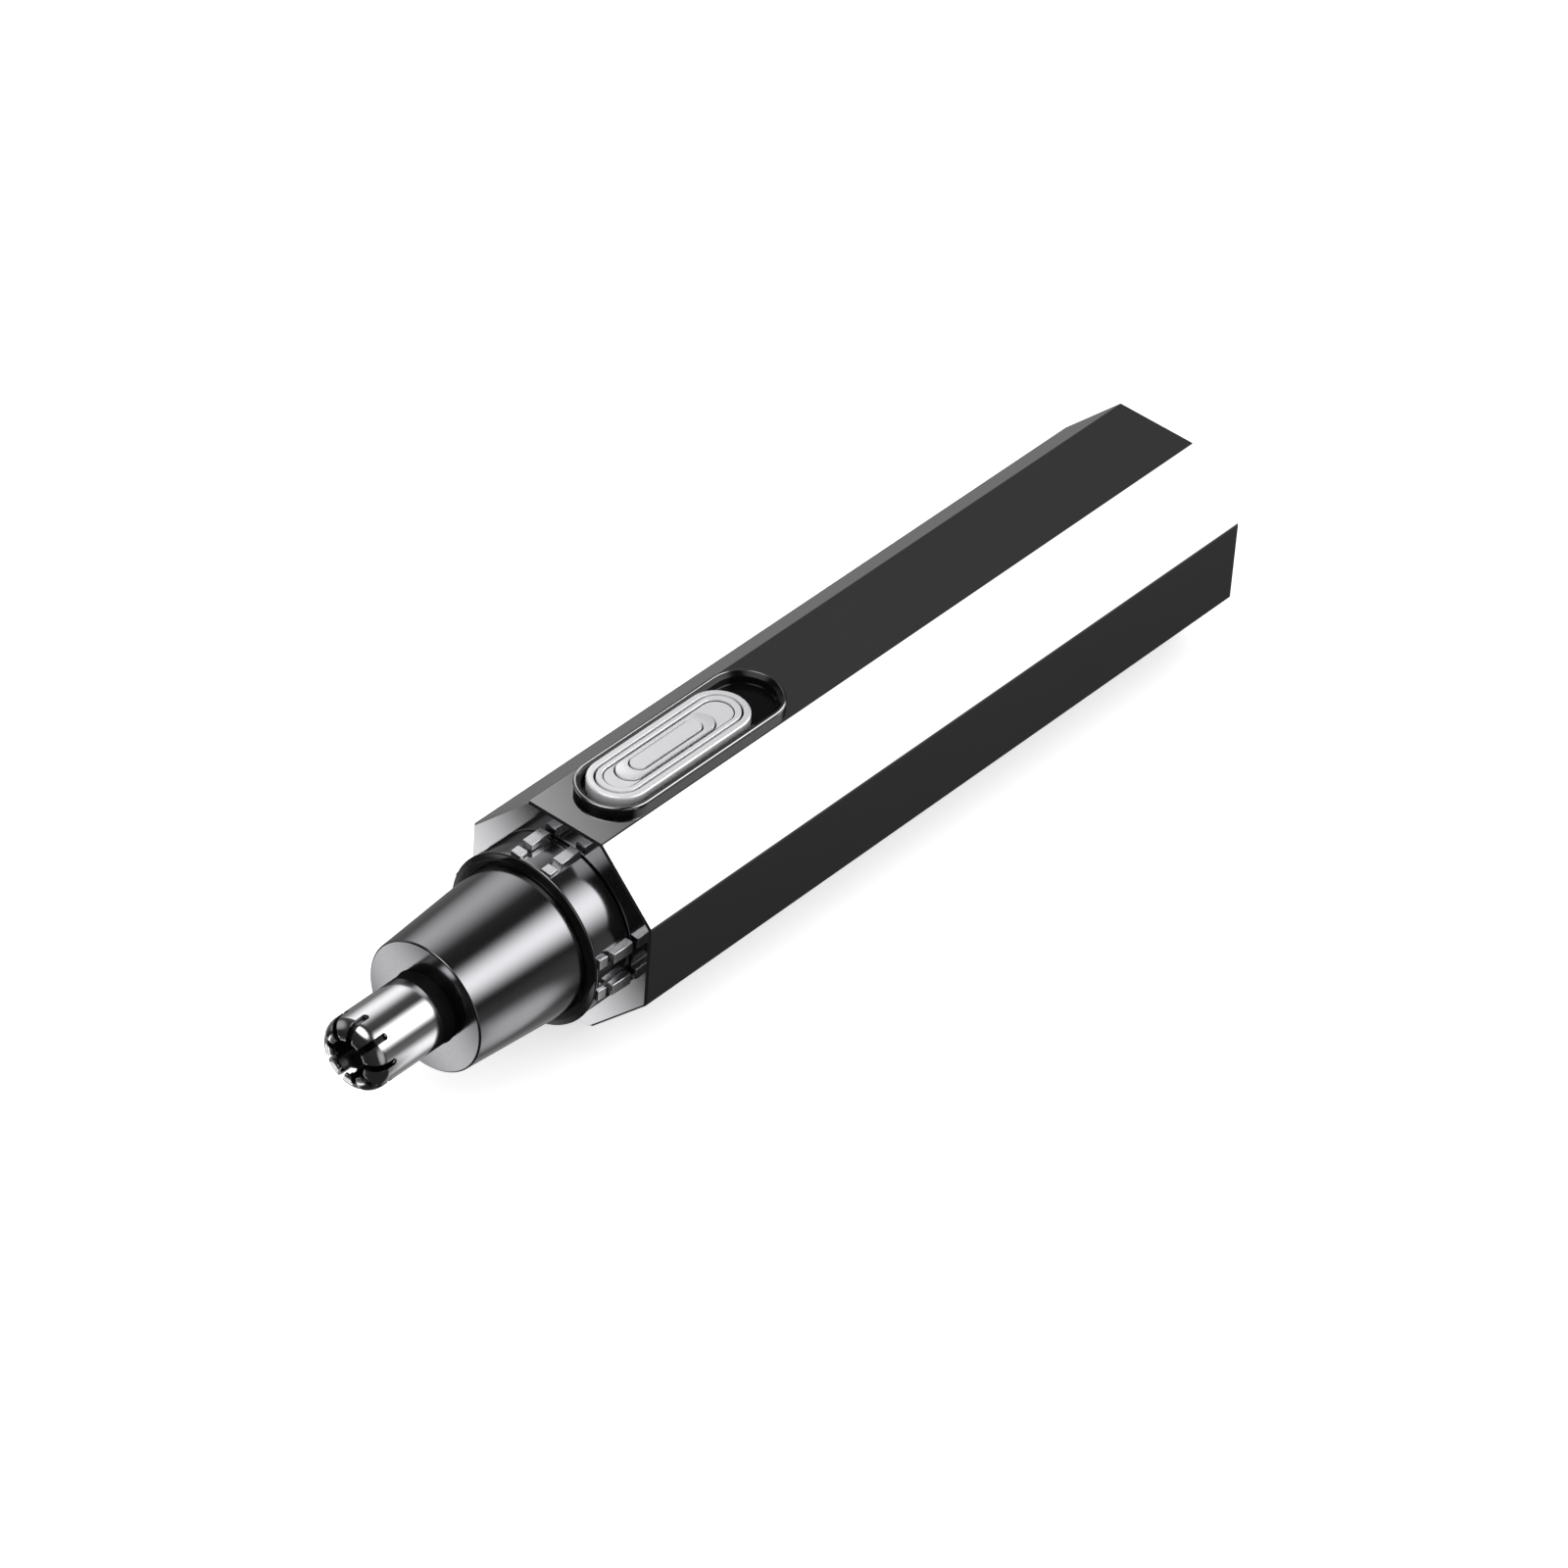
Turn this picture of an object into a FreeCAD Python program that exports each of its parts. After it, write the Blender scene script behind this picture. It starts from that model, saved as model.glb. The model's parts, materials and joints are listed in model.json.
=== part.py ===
import FreeCAD, Part
import math
import os
import Sketcher

# Octagonal metal nose hair trimmer, millimetres.
# Every body is drawn with its own origin on the trimmer's axis at the front face of the
# handle: +Y runs back along the handle, -Y out along the nose, +Z through the switch facet.
# The body placement then puts the bottom centre of the whole trimmer at the origin.

DIMS = {
    # handle
    "across": 27.0, "body_len": 107.0, "nose_len": 35.2, "bore_r": 12.3, "front_wall": 1.2,
    "nose_hole_r": 10.2, "edge_fillet": 0.45, "end_chamfer": 0.25,
    # switch opening, bezel and slider
    "bezel_start": 3.8, "bezel_end": 35.9, "bezel_r": 4.98, "bezel_rise": 1.1,
    "tub_r": 4.2, "well_r": 4.0, "well_floor": 0.4, "lip_width": 0.75, "lip_drop": 0.4,
    "slide_start": 5.5, "slide_end": 30.2, "slide_r": 3.87, "slide_top": 1.45,
    "slide_travel": 4.0, "stem_start": 14.0, "stem_len": 12.0, "stem_half": 1.2,
    "board_top": 9.0, "board_thick": 1.0, "board_half": 7.5,
    "carrier_low": 10.9, "carrier_high": 11.8, "lever_start": 19.3,
    # collar and socket
    "collar_r": 10.85, "collar_front": 5.76, "collar_bore": 9.0, "hub_r": 9.9,
    "lip_r": 10.6, "lug_angle": 35.0, "rib_half": 0.75, "rib_off": 2.3,
    "socket_front": 2.5, "socket_floor": 10.0, "socket_back": 11.9, "socket_bore": 7.6,
    "key_half": 0.65,
    # cutter head
    "cone_back": 6.13, "cone_front": 22.6, "cone_back_r": 9.6, "cone_front_r": 8.4,
    "cone_wall": 1.2, "spigot_r": 7.5, "spigot_bore": 6.5, "spigot_end": 7.5,
    "ring_r": 11.0, "ring_thick": 0.27, "neck_r": 4.6, "neck_front": 24.5,
    "tube_r": 4.62, "tube_wall": 0.42, "shank_r": 4.2, "shank_end": 16.0, "mouth_r": 2.4,
    "nose_round": 1.72, "slot_half": 0.42, "slot_back": 32.6, "keyhole_r": 0.4,
    "slot_count": 9, "blade_count": 6, "blade_gap": 0.1, "blade_back": 28.3,
    "spindle_r": 1.0, "dog_r": 3.0, "dog_front": 6.5, "dog_back": 0.4, "tongue_end": 3.2,
    # drive
    "coupler_r": 3.2, "coupler_front": 0.8, "coupler_back": 9.4, "motor_end": 37.1,
    "motor_r": 10.05, "motor_flat": 7.55, "can_wall": 0.7, "end_cap_end": 39.3,
    "armature_r": 6.2, "screw_x": 6.0,
    # battery, frame and rear end
    "cell_start": 45.5, "cell_end": 95.3, "cell_r": 7.1, "cell_drop": 1.0,
    "frame_start": 12.2, "frame_end": 103.2, "frame_r": 12.1, "frame_wall": 1.0,
    "cap_start": 103.5, "cap_end": 106.6, "cap_r": 12.15, "port_z": 6.4, "port_mid": 2.87,
    "port_r": 1.6, "boss_x": 8.0, "boss_z": -2.0, "lens_x": -6.7, "lens_z": 7.2,
    # slider's stem, ridges and what it moves
    "opening_depth": 5.0, "tub_gap": 0.1, "tub_depth": 1.05, "stem_slot_depth": 3.0,
    "stem_gap": 0.3, "stem_play": 0.4, "slide_skirt": 0.3, "slide_round": 0.3,
    "groove_out": 0.85, "groove_in": 1.15, "groove_depth": 0.25, "pan_depth": 0.2,
    "pan_inset": 1.95, "pan_r": 2.17, "step_foot": 0.25, "low_step_tall": 0.3,
    "low_step_front": 4.0, "low_step_back": 5.3, "low_step_r": 1.72, "high_step_tall": 0.22,
    "high_step_front": 6.1, "high_step_back": 7.2, "high_step_r": 1.03, "stem_drop": 2.0,
    "carrier_half": 3.0, "carrier_reach": 2.0, "seat_depth": 0.6, "carrier_through": 3.0,
    "lever_half": 0.6, "lever_len": 1.4, "lever_low": 9.65, "lever_tall": 1.5,
    "case_tall": 1.3, "case_half": 1.8, "case_start": 16.0, "case_end": 27.0,
    "track_depth": 0.8, "track_half": 0.8, "board_start": 13.0, "board_end": 103.0,
    # collar's lip, lugs and ribs, socket's key and screw holes
    "lip_start": 1.5, "lip_end": 2.2, "lug_front": 4.6, "lug_back": 3.4, "lug_in": 7.8,
    "recess_depth": 0.25, "recess_front": 5.2, "recess_back": 0.5, "rib_root": 10.2,
    "rib_front": 5.55, "block_back": 4.2, "block_top": 11.1, "wedge_front": 3.6,
    "wedge_top": 11.75, "wedge_peak": 0.6, "wedge_back": 0.35, "socket_hole_r": 3.6,
    "key_low": 6.95, "key_root": 0.5, "screw_hole_r": 1.0,
    # cone's lugs and keyways, neck, tube, blade, spindle and spring
    "cone_round": 0.2, "cone_lug_r": 8.7, "cone_lug_front": 2.9, "cone_lug_back": 1.7,
    "keyway_start": 1.8, "key_gap": 0.2, "flange_r": 6.6, "flange_thick": 1.4,
    "neck_back_r": 5.2, "shank_wall": 0.4, "slot_reach": 4.4, "keyhole_gap": 0.05,
    "cup_lip": 0.2, "web_thick": 1.2, "blade_wall": 0.5, "gap_reach": 5.2, "gap_back": 1.9,
    "gap_half": 1.15, "spindle_tip": 2.0, "spindle_end": 0.6, "bush_gap": 0.08,
    "bush_front": 18.0, "bush_back": 16.2, "tongue_half": 2.4, "coil_r": 1.9,
    "coil_front": 15.6, "wire_r": 0.2, "coil_pitch": 1.25, "coil_len": 8.6,
    # motor, its screws and leads, shaft and coupler
    "nub_front": 10.6, "nub_r": 3.0, "cavity_half": 7.2, "screw_r": 0.9, "screw_head": 0.8,
    "screw_head_r": 1.6, "screw_len": 2.6, "magnet_start": 17.0, "magnet_len": 14.0,
    "magnet_half": 4.5, "air_gap": 0.35, "stack_start": 18.0, "stack_end": 30.0,
    "pole_half": 0.9, "pole_root": 2.6, "tab_x": 5.5, "terminal_len": 2.8,
    "terminal_half": 1.2, "lead_back": 1.6, "lead_r": 0.5, "shaft_start": 4.6,
    "shaft_len": 33.8, "fork_depth": 3.3, "fork_half": 0.75,
    # frame's walls and bosses, battery ends
    "wall_thick": 1.5, "saddle_back": 31.0, "mid_wall": 43.0, "cell_saddle": 54.0,
    "saddle_step": 15.0, "rear_wall": 97.3, "boss_start": 98.5, "boss_r": 2.1,
    "clear_half": 14.0, "motor_floor": 7.6, "cell_floor": 2.0, "port_floor": 0.2,
    "cell_gap": 0.05, "pilot_start": 99.0, "pilot_r": 0.8, "button_rise": 0.5,
    "button_r": 2.7, "tab_thick": 0.25, "tab_half": 2.0, "tab_low": 3.0,
    # rear cap's holes and screws, light and charging inlet
    "cap_chamfer": 0.3, "port_gap": 0.15, "lens_r": 0.9, "cap_hole_r": 1.0,
    "counterbore": 1.2, "counterbore_r": 1.9, "cap_screw_y": 106.4, "cap_screw_head": 1.0,
    "cap_screw_r": 1.8, "cap_screw_len": 6.0, "led_start": 101.8, "led_len": 1.2,
    "led_half": 0.7, "usb_start": 99.6, "usb_end": 106.4, "usb_depth": 6.0, "usb_wall": 0.3,
    "plug_thick": 1.0, "tongue_root": 101.2, "usb_tongue_len": 4.7, "usb_tongue_half": 3.3,
    "tongue_rise": 0.35,
}

doc = FreeCAD.newDocument("trimmer")
sheet = doc.addObject("Spreadsheet::Sheet", "d")
for row, (alias, value) in enumerate(DIMS.items(), start=1):
    sheet.set("A%d" % row, alias)
    sheet.set("B%d" % row, str(value))
    sheet.setAlias("B%d" % row, alias)
doc.recompute()

TOP, FRONT, SIDE = "XY_Plane", "XZ_Plane", "YZ_Plane"


# ---------------------------------------------------------------- sketch helpers

def new_body(label):
    body = doc.addObject("PartDesign::Body", label)
    body.Label = label
    body.AllowCompound = True
    body.setExpression("Placement.Base.y", "-(d.body_len - d.nose_len) / 2")
    body.setExpression("Placement.Base.z", "d.across / 2")
    return body


def new_sketch(body, name, plane, offset="0"):
    """Sketch on one of the body's own origin planes, moved along the body axis by offset."""
    sketch = body.newObject("Sketcher::SketchObject", "%s_%s" % (body.Label, name))
    base = next(f for f in body.Origin.OriginFeatures if f.Role == plane)
    sketch.AttachmentSupport = [(base, "")]
    sketch.MapMode = "FlatFace"
    sign = "-1 * " if plane == FRONT else ""
    sketch.setExpression("AttachmentOffset.Base.z", "%s(%s)" % (sign, offset))
    return sketch


def number(formula):
    return float(sheet.evalExpression(str(formula)))


def spot(across, along):
    return FreeCAD.Vector(number(across), number(along), 0)


def pin(sketch, geo, pos, across, along):
    for kind, formula in (("DistanceX", across), ("DistanceY", along)):
        datum = Sketcher.Constraint(kind, geo, pos, number(formula))
        index = sketch.addConstraint(datum)
        sketch.setExpression("Constraints[%d]" % index, str(formula))


def size(sketch, geo, radius):
    index = sketch.addConstraint(Sketcher.Constraint("Radius", geo, number(radius)))
    sketch.setExpression("Constraints[%d]" % index, str(radius))


def polygon(sketch, corners):
    """Closed outline; both coordinates of every corner follow a formula."""
    count = len(corners)
    first = sketch.GeometryCount
    spots = [spot(across, along) for across, along in corners]
    for i in range(count):
        sketch.addGeometry(Part.LineSegment(spots[i], spots[(i + 1) % count]), False)
    for i in range(count):
        after = first + (i + 1) % count
        sketch.addConstraint(Sketcher.Constraint("Coincident", first + i, 2, after, 1))
    for i, (across, along) in enumerate(corners):
        pin(sketch, first + i, 1, across, along)


def rectangle(sketch, x0, x1, y0, y1):
    polygon(sketch, [(x0, y0), (x1, y0), (x1, y1), (x0, y1)])


def circle(sketch, x, y, radius):
    ring = Part.Circle(spot(x, y), FreeCAD.Vector(0, 0, 1), number(radius))
    geo = sketch.addGeometry(ring, False)
    pin(sketch, geo, 3, x, y)
    size(sketch, geo, radius)


def stadium(sketch, low, high, radius, mid="0", sideways=False):
    """Slot outline from low to high along sketch Y, or along sketch X when sideways."""
    first = sketch.GeometryCount
    axis = FreeCAD.Vector(0, 0, 1)
    far, near = "(%s) - (%s)" % (high, radius), "(%s) + (%s)" % (low, radius)
    centres = [(far, mid), (near, mid)] if sideways else [(mid, far), (mid, near)]
    turn = -math.pi / 2 if sideways else 0.0
    arcs = []
    for (across, along), start in zip(centres, (turn, turn + math.pi)):
        ring = Part.Circle(spot(across, along), axis, number(radius))
        arcs.append(Part.ArcOfCircle(ring, start, start + math.pi))
    shapes = (arcs[0], Part.LineSegment(arcs[0].EndPoint, arcs[1].StartPoint),
              arcs[1], Part.LineSegment(arcs[1].EndPoint, arcs[0].StartPoint))
    for shape in shapes:
        sketch.addGeometry(shape, False)
    for here, there in ((0, 1), (1, 2), (2, 3), (3, 0)):
        joint = Sketcher.Constraint("Coincident", first + here, 2, first + there, 1)
        sketch.addConstraint(joint)
    kind = "DistanceX" if sideways else "DistanceY"
    for geo, (across, along), level in ((first, centres[0], far), (first + 2, centres[1], near)):
        pin(sketch, geo, 3, across, along)
        size(sketch, geo, radius)
        for end in (1, 2):
            index = sketch.addConstraint(Sketcher.Constraint(kind, geo, end, number(level)))
            sketch.setExpression("Constraints[%d]" % index, level)


# ---------------------------------------------------------------- feature helpers

def extrude(body, sketch, length, cut=False, forward=True):
    """Pad or pocket. forward means towards +Z, +X or +Y from the sketch's plane."""
    kind = "PartDesign::Pocket" if cut else "PartDesign::Pad"
    feature = body.newObject(kind, sketch.Label + ("_cut" if cut else "_pad"))
    feature.Profile = sketch
    feature.setExpression("Length", str(length))
    along_normal = forward != (sketch.AttachmentSupport[0][0].Role == FRONT)
    feature.Reversed = along_normal if cut else not along_normal
    return feature


def block(body, name, plane, offset, length, draw, cut=False, forward=True):
    sketch = new_sketch(body, name, plane, offset)
    draw(sketch)
    return extrude(body, sketch, length, cut, forward)


def turned(body, name, corners, angle=None):
    """Solid of revolution about the trimmer's axis; corners are (radius, y)."""
    sketch = new_sketch(body, name, TOP)
    polygon(sketch, corners)
    feature = body.newObject("PartDesign::Revolution", sketch.Label + "_turn")
    feature.Profile = sketch
    feature.ReferenceAxis = (sketch, ["V_Axis"])
    if angle is None:
        feature.Angle = 360
    else:
        feature.Midplane = True
        feature.setExpression("Angle", angle)
    return feature


def around(body, name, features, count):
    """Repeat features evenly about the trimmer's axis."""
    doc.recompute()
    body.Tip = features[-1]
    pattern = body.newObject("PartDesign::PolarPattern", "%s_%s" % (body.Label, name))
    pattern.Originals = features
    axis = next(f for f in body.Origin.OriginFeatures if f.Role == "Y_Axis")
    pattern.Axis = (axis, [""])
    pattern.Angle = 360
    pattern.setExpression("Occurrences", str(count))
    body.Tip = pattern
    return pattern


def edges_where(feature, test):
    doc.recompute()
    return ["Edge%d" % (i + 1) for i, edge in enumerate(feature.Shape.Edges) if test(edge)]


def dress(body, kind, feature, edges, size):
    dressing = body.newObject("PartDesign::" + kind, "%s_%s" % (feature.Label, kind))
    dressing.Base = (feature, edges)
    dressing.setExpression("Radius" if kind == "Fillet" else "Size", size)
    doc.recompute()
    return dressing


def rim_at(y, radius):
    """True for a circular edge about the trimmer's axis at this y and radius."""
    def test(edge):
        curve = edge.Curve
        if not isinstance(curve, Part.Circle):
            return False
        return abs(curve.Center.y - y) < 0.01 and abs(curve.Radius - radius) < 0.01
    return test


# ---------------------------------------------------------------- handle

def housing_shell():
    body = new_body("housing_shell")
    flat, half = "d.across / 2", "d.across / 2 * tan(22.5)"
    corners = []
    for sx, sy, tall in ((1, -1, 0), (1, 1, 0), (1, 1, 1), (-1, 1, 1),
                         (-1, 1, 0), (-1, -1, 0), (-1, -1, 1), (1, -1, 1)):
        across, along = (half, flat) if tall else (flat, half)
        corners.append(("%d * %s" % (sx, across), "%d * %s" % (sy, along)))
    prism = block(body, "prism", FRONT, "0", "d.body_len", lambda s: polygon(s, corners))
    long_edges = edges_where(prism, lambda e: e.Length > DIMS["body_len"] - 1)
    soft = dress(body, "Fillet", prism, long_edges, "d.edge_fillet")
    at_ends = edges_where(soft, lambda e: e.BoundBox.YLength < 0.01)
    dress(body, "Chamfer", soft, at_ends, "d.end_chamfer")
    block(body, "bore", FRONT, "d.body_len", "d.body_len - d.front_wall",
          lambda s: circle(s, "0", "0", "d.bore_r"), cut=True, forward=False)
    block(body, "mouth", FRONT, "0", "d.front_wall + 1",
          lambda s: circle(s, "0", "0", "d.nose_hole_r"), cut=True)
    block(body, "switch_opening", TOP, "d.across / 2 + 1", "d.opening_depth",
          lambda s: stadium(s, "d.bezel_start + d.bezel_r - d.tub_r - d.tub_gap",
                            "d.bezel_end - d.bezel_r + d.tub_r + d.tub_gap", "d.tub_r + d.tub_gap"),
          cut=True, forward=False)


def switch_bezel():
    body = new_body("switch_bezel")
    face = "d.across / 2"
    tub = "d.bezel_r - d.tub_r"
    well = "d.bezel_r - d.well_r"
    mouth = "d.bezel_r - d.well_r - d.lip_width"
    block(body, "rim", TOP, face, "d.bezel_rise",
          lambda s: stadium(s, "d.bezel_start", "d.bezel_end", "d.bezel_r"))
    block(body, "tub", TOP, face, "d.tub_depth",
          lambda s: stadium(s, "d.bezel_start + " + tub, "d.bezel_end - (%s)" % tub, "d.tub_r"),
          forward=False)
    block(body, "well", TOP, face + " + d.bezel_rise", "d.bezel_rise + d.well_floor",
          lambda s: stadium(s, "d.bezel_start + " + well, "d.bezel_end - (%s)" % well, "d.well_r"),
          cut=True, forward=False)
    upper = new_sketch(body, "lip_top", TOP, face + " + d.bezel_rise")
    stadium(upper, "d.bezel_start + " + mouth, "d.bezel_end - (%s)" % mouth,
            "d.well_r + d.lip_width")
    lower = new_sketch(body, "lip_foot", TOP, face + " + d.bezel_rise - d.lip_drop")
    stadium(lower, "d.bezel_start + " + well, "d.bezel_end - (%s)" % well, "d.well_r")
    dish = body.newObject("PartDesign::SubtractiveLoft", "switch_bezel_lip_slope")
    dish.Profile = upper
    dish.Sections = [lower]
    dish.Ruled = True
    block(body, "stem_slot", TOP, face, "d.stem_slot_depth",
          lambda s: rectangle(s, "-(d.stem_half + d.stem_gap)", "d.stem_half + d.stem_gap",
                              "d.stem_start - d.stem_play",
                              "d.stem_start + d.stem_len + d.slide_travel + d.stem_play"),
          cut=True, forward=False)


def power_slider():
    body = new_body("power_slider")
    face = "d.across / 2"

    def ring(low, high, radius):
        return lambda s: stadium(s, "d.slide_start + %s" % low, "d.slide_end - %s" % high, radius)

    plate = block(body, "plate", TOP, face + " - d.slide_skirt", "d.slide_top + d.slide_skirt",
                  ring("0", "0", "d.slide_r"))
    top = DIMS["across"] / 2 + DIMS["slide_top"]
    rim = edges_where(plate, lambda e: e.BoundBox.ZMin > top - 0.01)
    dress(body, "Fillet", plate, rim, "d.slide_round")
    groove = new_sketch(body, "groove", TOP, face + " + d.slide_top")
    ring("d.groove_out", "d.groove_out", "d.slide_r - d.groove_out")(groove)
    ring("d.groove_in", "d.groove_in", "d.slide_r - d.groove_in")(groove)
    extrude(body, groove, "d.groove_depth", cut=True, forward=False)
    block(body, "pan", TOP, face + " + d.slide_top", "d.pan_depth",
          ring("d.pan_inset", "d.pan_inset", "d.pan_r"), cut=True, forward=False)
    block(body, "low_step", TOP, face + " + d.slide_top - d.step_foot",
          "d.low_step_tall", ring("d.low_step_front", "d.low_step_back", "d.low_step_r"))
    block(body, "high_step", TOP, face + " + d.slide_top", "d.high_step_tall",
          ring("d.high_step_front", "d.high_step_back", "d.high_step_r"))
    block(body, "stem", TOP, face + " - d.slide_skirt", "d.stem_drop",
          lambda s: rectangle(s, "-d.stem_half", "d.stem_half", "d.stem_start",
                              "d.stem_start + d.stem_len"), forward=False)


def slider_carrier():
    body = new_body("slider_carrier")
    block(body, "plate", TOP, "d.carrier_low", "d.carrier_high - d.carrier_low",
          lambda s: rectangle(s, "-d.carrier_half", "d.carrier_half",
                              "d.stem_start - d.carrier_reach",
                              "d.stem_start + d.stem_len + d.carrier_reach"))
    block(body, "stem_seat", TOP, "d.carrier_high", "d.seat_depth",
          lambda s: rectangle(s, "-d.stem_half", "d.stem_half", "d.stem_start",
                              "d.stem_start + d.stem_len"), cut=True, forward=False)
    block(body, "lever_seat", TOP, "d.carrier_high", "d.carrier_through",
          lambda s: rectangle(s, "-d.lever_half", "d.lever_half", "d.lever_start",
                              "d.lever_start + d.lever_len"),
          cut=True, forward=False)


def switch_lever():
    body = new_body("switch_lever")
    block(body, "knob", TOP, "d.lever_low", "d.lever_tall",
          lambda s: rectangle(s, "-d.lever_half", "d.lever_half", "d.lever_start",
                              "d.lever_start + d.lever_len"))


def switch_housing():
    body = new_body("switch_housing")
    block(body, "case", TOP, "d.board_top", "d.case_tall",
          lambda s: rectangle(s, "-d.case_half", "d.case_half", "d.case_start", "d.case_end"))
    block(body, "track", TOP, "d.board_top + d.case_tall", "d.track_depth",
          lambda s: rectangle(s, "-d.track_half", "d.track_half", "d.lever_start - d.stem_gap",
                              "d.lever_start + d.slide_travel + d.lever_len + d.stem_gap"),
                              cut=True, forward=False)


def control_board():
    body = new_body("control_board")
    block(body, "plate", TOP, "d.board_top - d.board_thick", "d.board_thick",
          lambda s: rectangle(s, "-d.board_half", "d.board_half", "d.board_start", "d.board_end"))


def board_components():
    body = new_body("board_components")
    # left, right, front, back and height of each component
    chips = (("driver_chip", -2, 2, 38, 42, 1.0), ("inductor", -2.5, 2.5, 47, 52, 1.9),
             ("charger_chip", -1.6, 1.6, 58, 61, 0.8), ("capacitor", -1, 1, 66, 69.2, 1.4),
             ("resistor", 3, 4.2, 58, 60.2, 0.5), ("diode", -5, -3.4, 66, 69, 1.0))
    for name, x0, x1, y0, y1, tall in chips:
        block(body, name, TOP, "d.board_top", tall,
              lambda s: rectangle(s, x0, x1, y0, y1))


# ---------------------------------------------------------------- socket, frame, battery

def front_socket():
    body = new_body("front_socket")
    turned(body, "cup", [("d.socket_bore", "d.socket_front"), ("d.frame_r", "d.socket_front"),
                         ("d.frame_r", "d.socket_back"), ("d.socket_hole_r", "d.socket_back"),
                         ("d.socket_hole_r", "d.socket_floor"), ("d.socket_bore",
                                                                 "d.socket_floor")])
    key = block(body, "key", FRONT, "d.socket_front", "d.socket_floor - d.socket_front",
                lambda s: rectangle(s, "-d.key_half", "d.key_half", "d.key_low",
                                    "d.socket_bore + d.key_root"))
    around(body, "keys", [key], 2)
    for side, x in (("left", "-d.screw_x"), ("right", "d.screw_x")):
        block(body, side + "_screw_hole", FRONT, "d.socket_floor",
              "d.socket_back - d.socket_floor + 1",
              lambda s: circle(s, x, "0", "d.screw_hole_r"), cut=True)


def inner_frame():
    body = new_body("inner_frame")
    shell = new_sketch(body, "trough", FRONT, "d.frame_start")
    circle(shell, "0", "0", "d.frame_r")
    circle(shell, "0", "0", "d.frame_r - d.frame_wall")
    extrude(body, shell, "d.frame_end - d.frame_start")
    walls = (("motor_saddle_front", "d.magnet_start"), ("motor_saddle_back", "d.saddle_back"),
             ("middle_wall", "d.mid_wall"), ("cell_saddle_front", "d.cell_saddle"),
             ("cell_saddle_mid", "d.cell_saddle + d.saddle_step"),
             ("cell_saddle_back", "d.cell_saddle + 2 * d.saddle_step"),
             ("rear_wall", "d.rear_wall"))
    for name, start in walls:
        block(body, name, FRONT, start, "d.wall_thick",
              lambda s: circle(s, "0", "0", "d.frame_r - d.frame_wall / 2"))
    for side, x in (("left", "-d.boss_x"), ("right", "d.boss_x")):
        block(body, side + "_boss", FRONT, "d.boss_start", "d.frame_end - d.boss_start",
              lambda s: circle(s, x, "d.boss_z", "d.boss_r"))
    block(body, "open_top", FRONT, "d.frame_start - 1", "d.frame_end - d.frame_start + 2",
          lambda s: rectangle(s, "-d.clear_half", "d.clear_half",
                              "d.board_top - d.board_thick", "d.clear_half"), cut=True)
    for name, start, end, level in (("motor_bay", "d.frame_start - 1", "d.mid_wall",
                                     "-d.motor_floor"),
                                    ("cell_bay", "d.mid_wall + d.wall_thick", "d.rear_wall",
                                     "-d.cell_floor"),
                                    ("port_bay", "d.rear_wall + d.wall_thick", "d.frame_end + 1",
                                     "d.port_floor")):
        block(body, name, FRONT, start, "%s - (%s)" % (end, start),
              lambda s: rectangle(s, "-d.clear_half", "d.clear_half", level, "d.clear_half"),
              cut=True)
    block(body, "cell_bore", FRONT, "d.mid_wall + d.wall_thick",
          "d.rear_wall - d.mid_wall - d.wall_thick",
          lambda s: circle(s, "0", "-d.cell_drop", "d.cell_r + d.cell_gap"), cut=True)
    for side, x in (("left", "-d.boss_x"), ("right", "d.boss_x")):
        block(body, side + "_pilot", FRONT, "d.pilot_start", "d.frame_end + 1 - d.pilot_start",
              lambda s: circle(s, x, "d.boss_z", "d.pilot_r"), cut=True)


def battery_cell():
    body = new_body("battery_cell")
    block(body, "can", FRONT, "d.cell_start", "d.cell_end - d.cell_start",
          lambda s: circle(s, "0", "-d.cell_drop", "d.cell_r"))
    block(body, "button", FRONT, "d.cell_start - d.button_rise", "d.button_rise + 0.1",
          lambda s: circle(s, "0", "-d.cell_drop", "d.button_r"))


def battery_tabs():
    body = new_body("battery_tabs")
    for name, start in (("front", "d.cell_start - d.button_rise - d.tab_thick"), ("back",
                                                                                  "d.cell_end")):
        block(body, name, FRONT, start, "d.tab_thick",
              lambda s: rectangle(s, "-d.tab_half", "d.tab_half", "-d.tab_low",
                                  "d.board_top - d.board_thick"))


# ---------------------------------------------------------------- motor and drive

def flats(body, start, end):
    """Shave the two flats of the motor outline off the body."""
    for name, low, high in (("top_flat", "d.motor_flat", "d.motor_flat + 5"),
                            ("bottom_flat", "-d.motor_flat - 5", "-d.motor_flat")):
        block(body, name, FRONT, start, "%s - (%s)" % (end, start),
              lambda s: rectangle(s, "-12", "12", low, high), cut=True)


def motor_can():
    body = new_body("motor_can")
    face, inside = "d.socket_back", "d.socket_back + d.can_wall"
    turned(body, "can", [("d.spindle_r + 0.1", "d.nub_front"), ("d.nub_r", "d.nub_front"),
                         ("d.nub_r", face),
                         ("d.motor_r", face), ("d.motor_r", "d.motor_end"),
                         ("d.spindle_r + 0.1", "d.motor_end")])
    flats(body, face, "d.motor_end")
    cavity = new_sketch(body, "cavity", FRONT, "d.motor_end")
    rectangle(cavity, "-d.cavity_half", "d.cavity_half", "-(d.motor_flat - d.can_wall)",
              "d.motor_flat - d.can_wall")
    extrude(body, cavity, "d.motor_end - (%s)" % inside, cut=True, forward=False)
    for side, x in (("left", "-d.screw_x"), ("right", "d.screw_x")):
        block(body, side + "_screw_hole", FRONT, "d.socket_back - 1", "1 + d.can_wall",
              lambda s: circle(s, x, "0", "d.screw_r"), cut=True)


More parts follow.
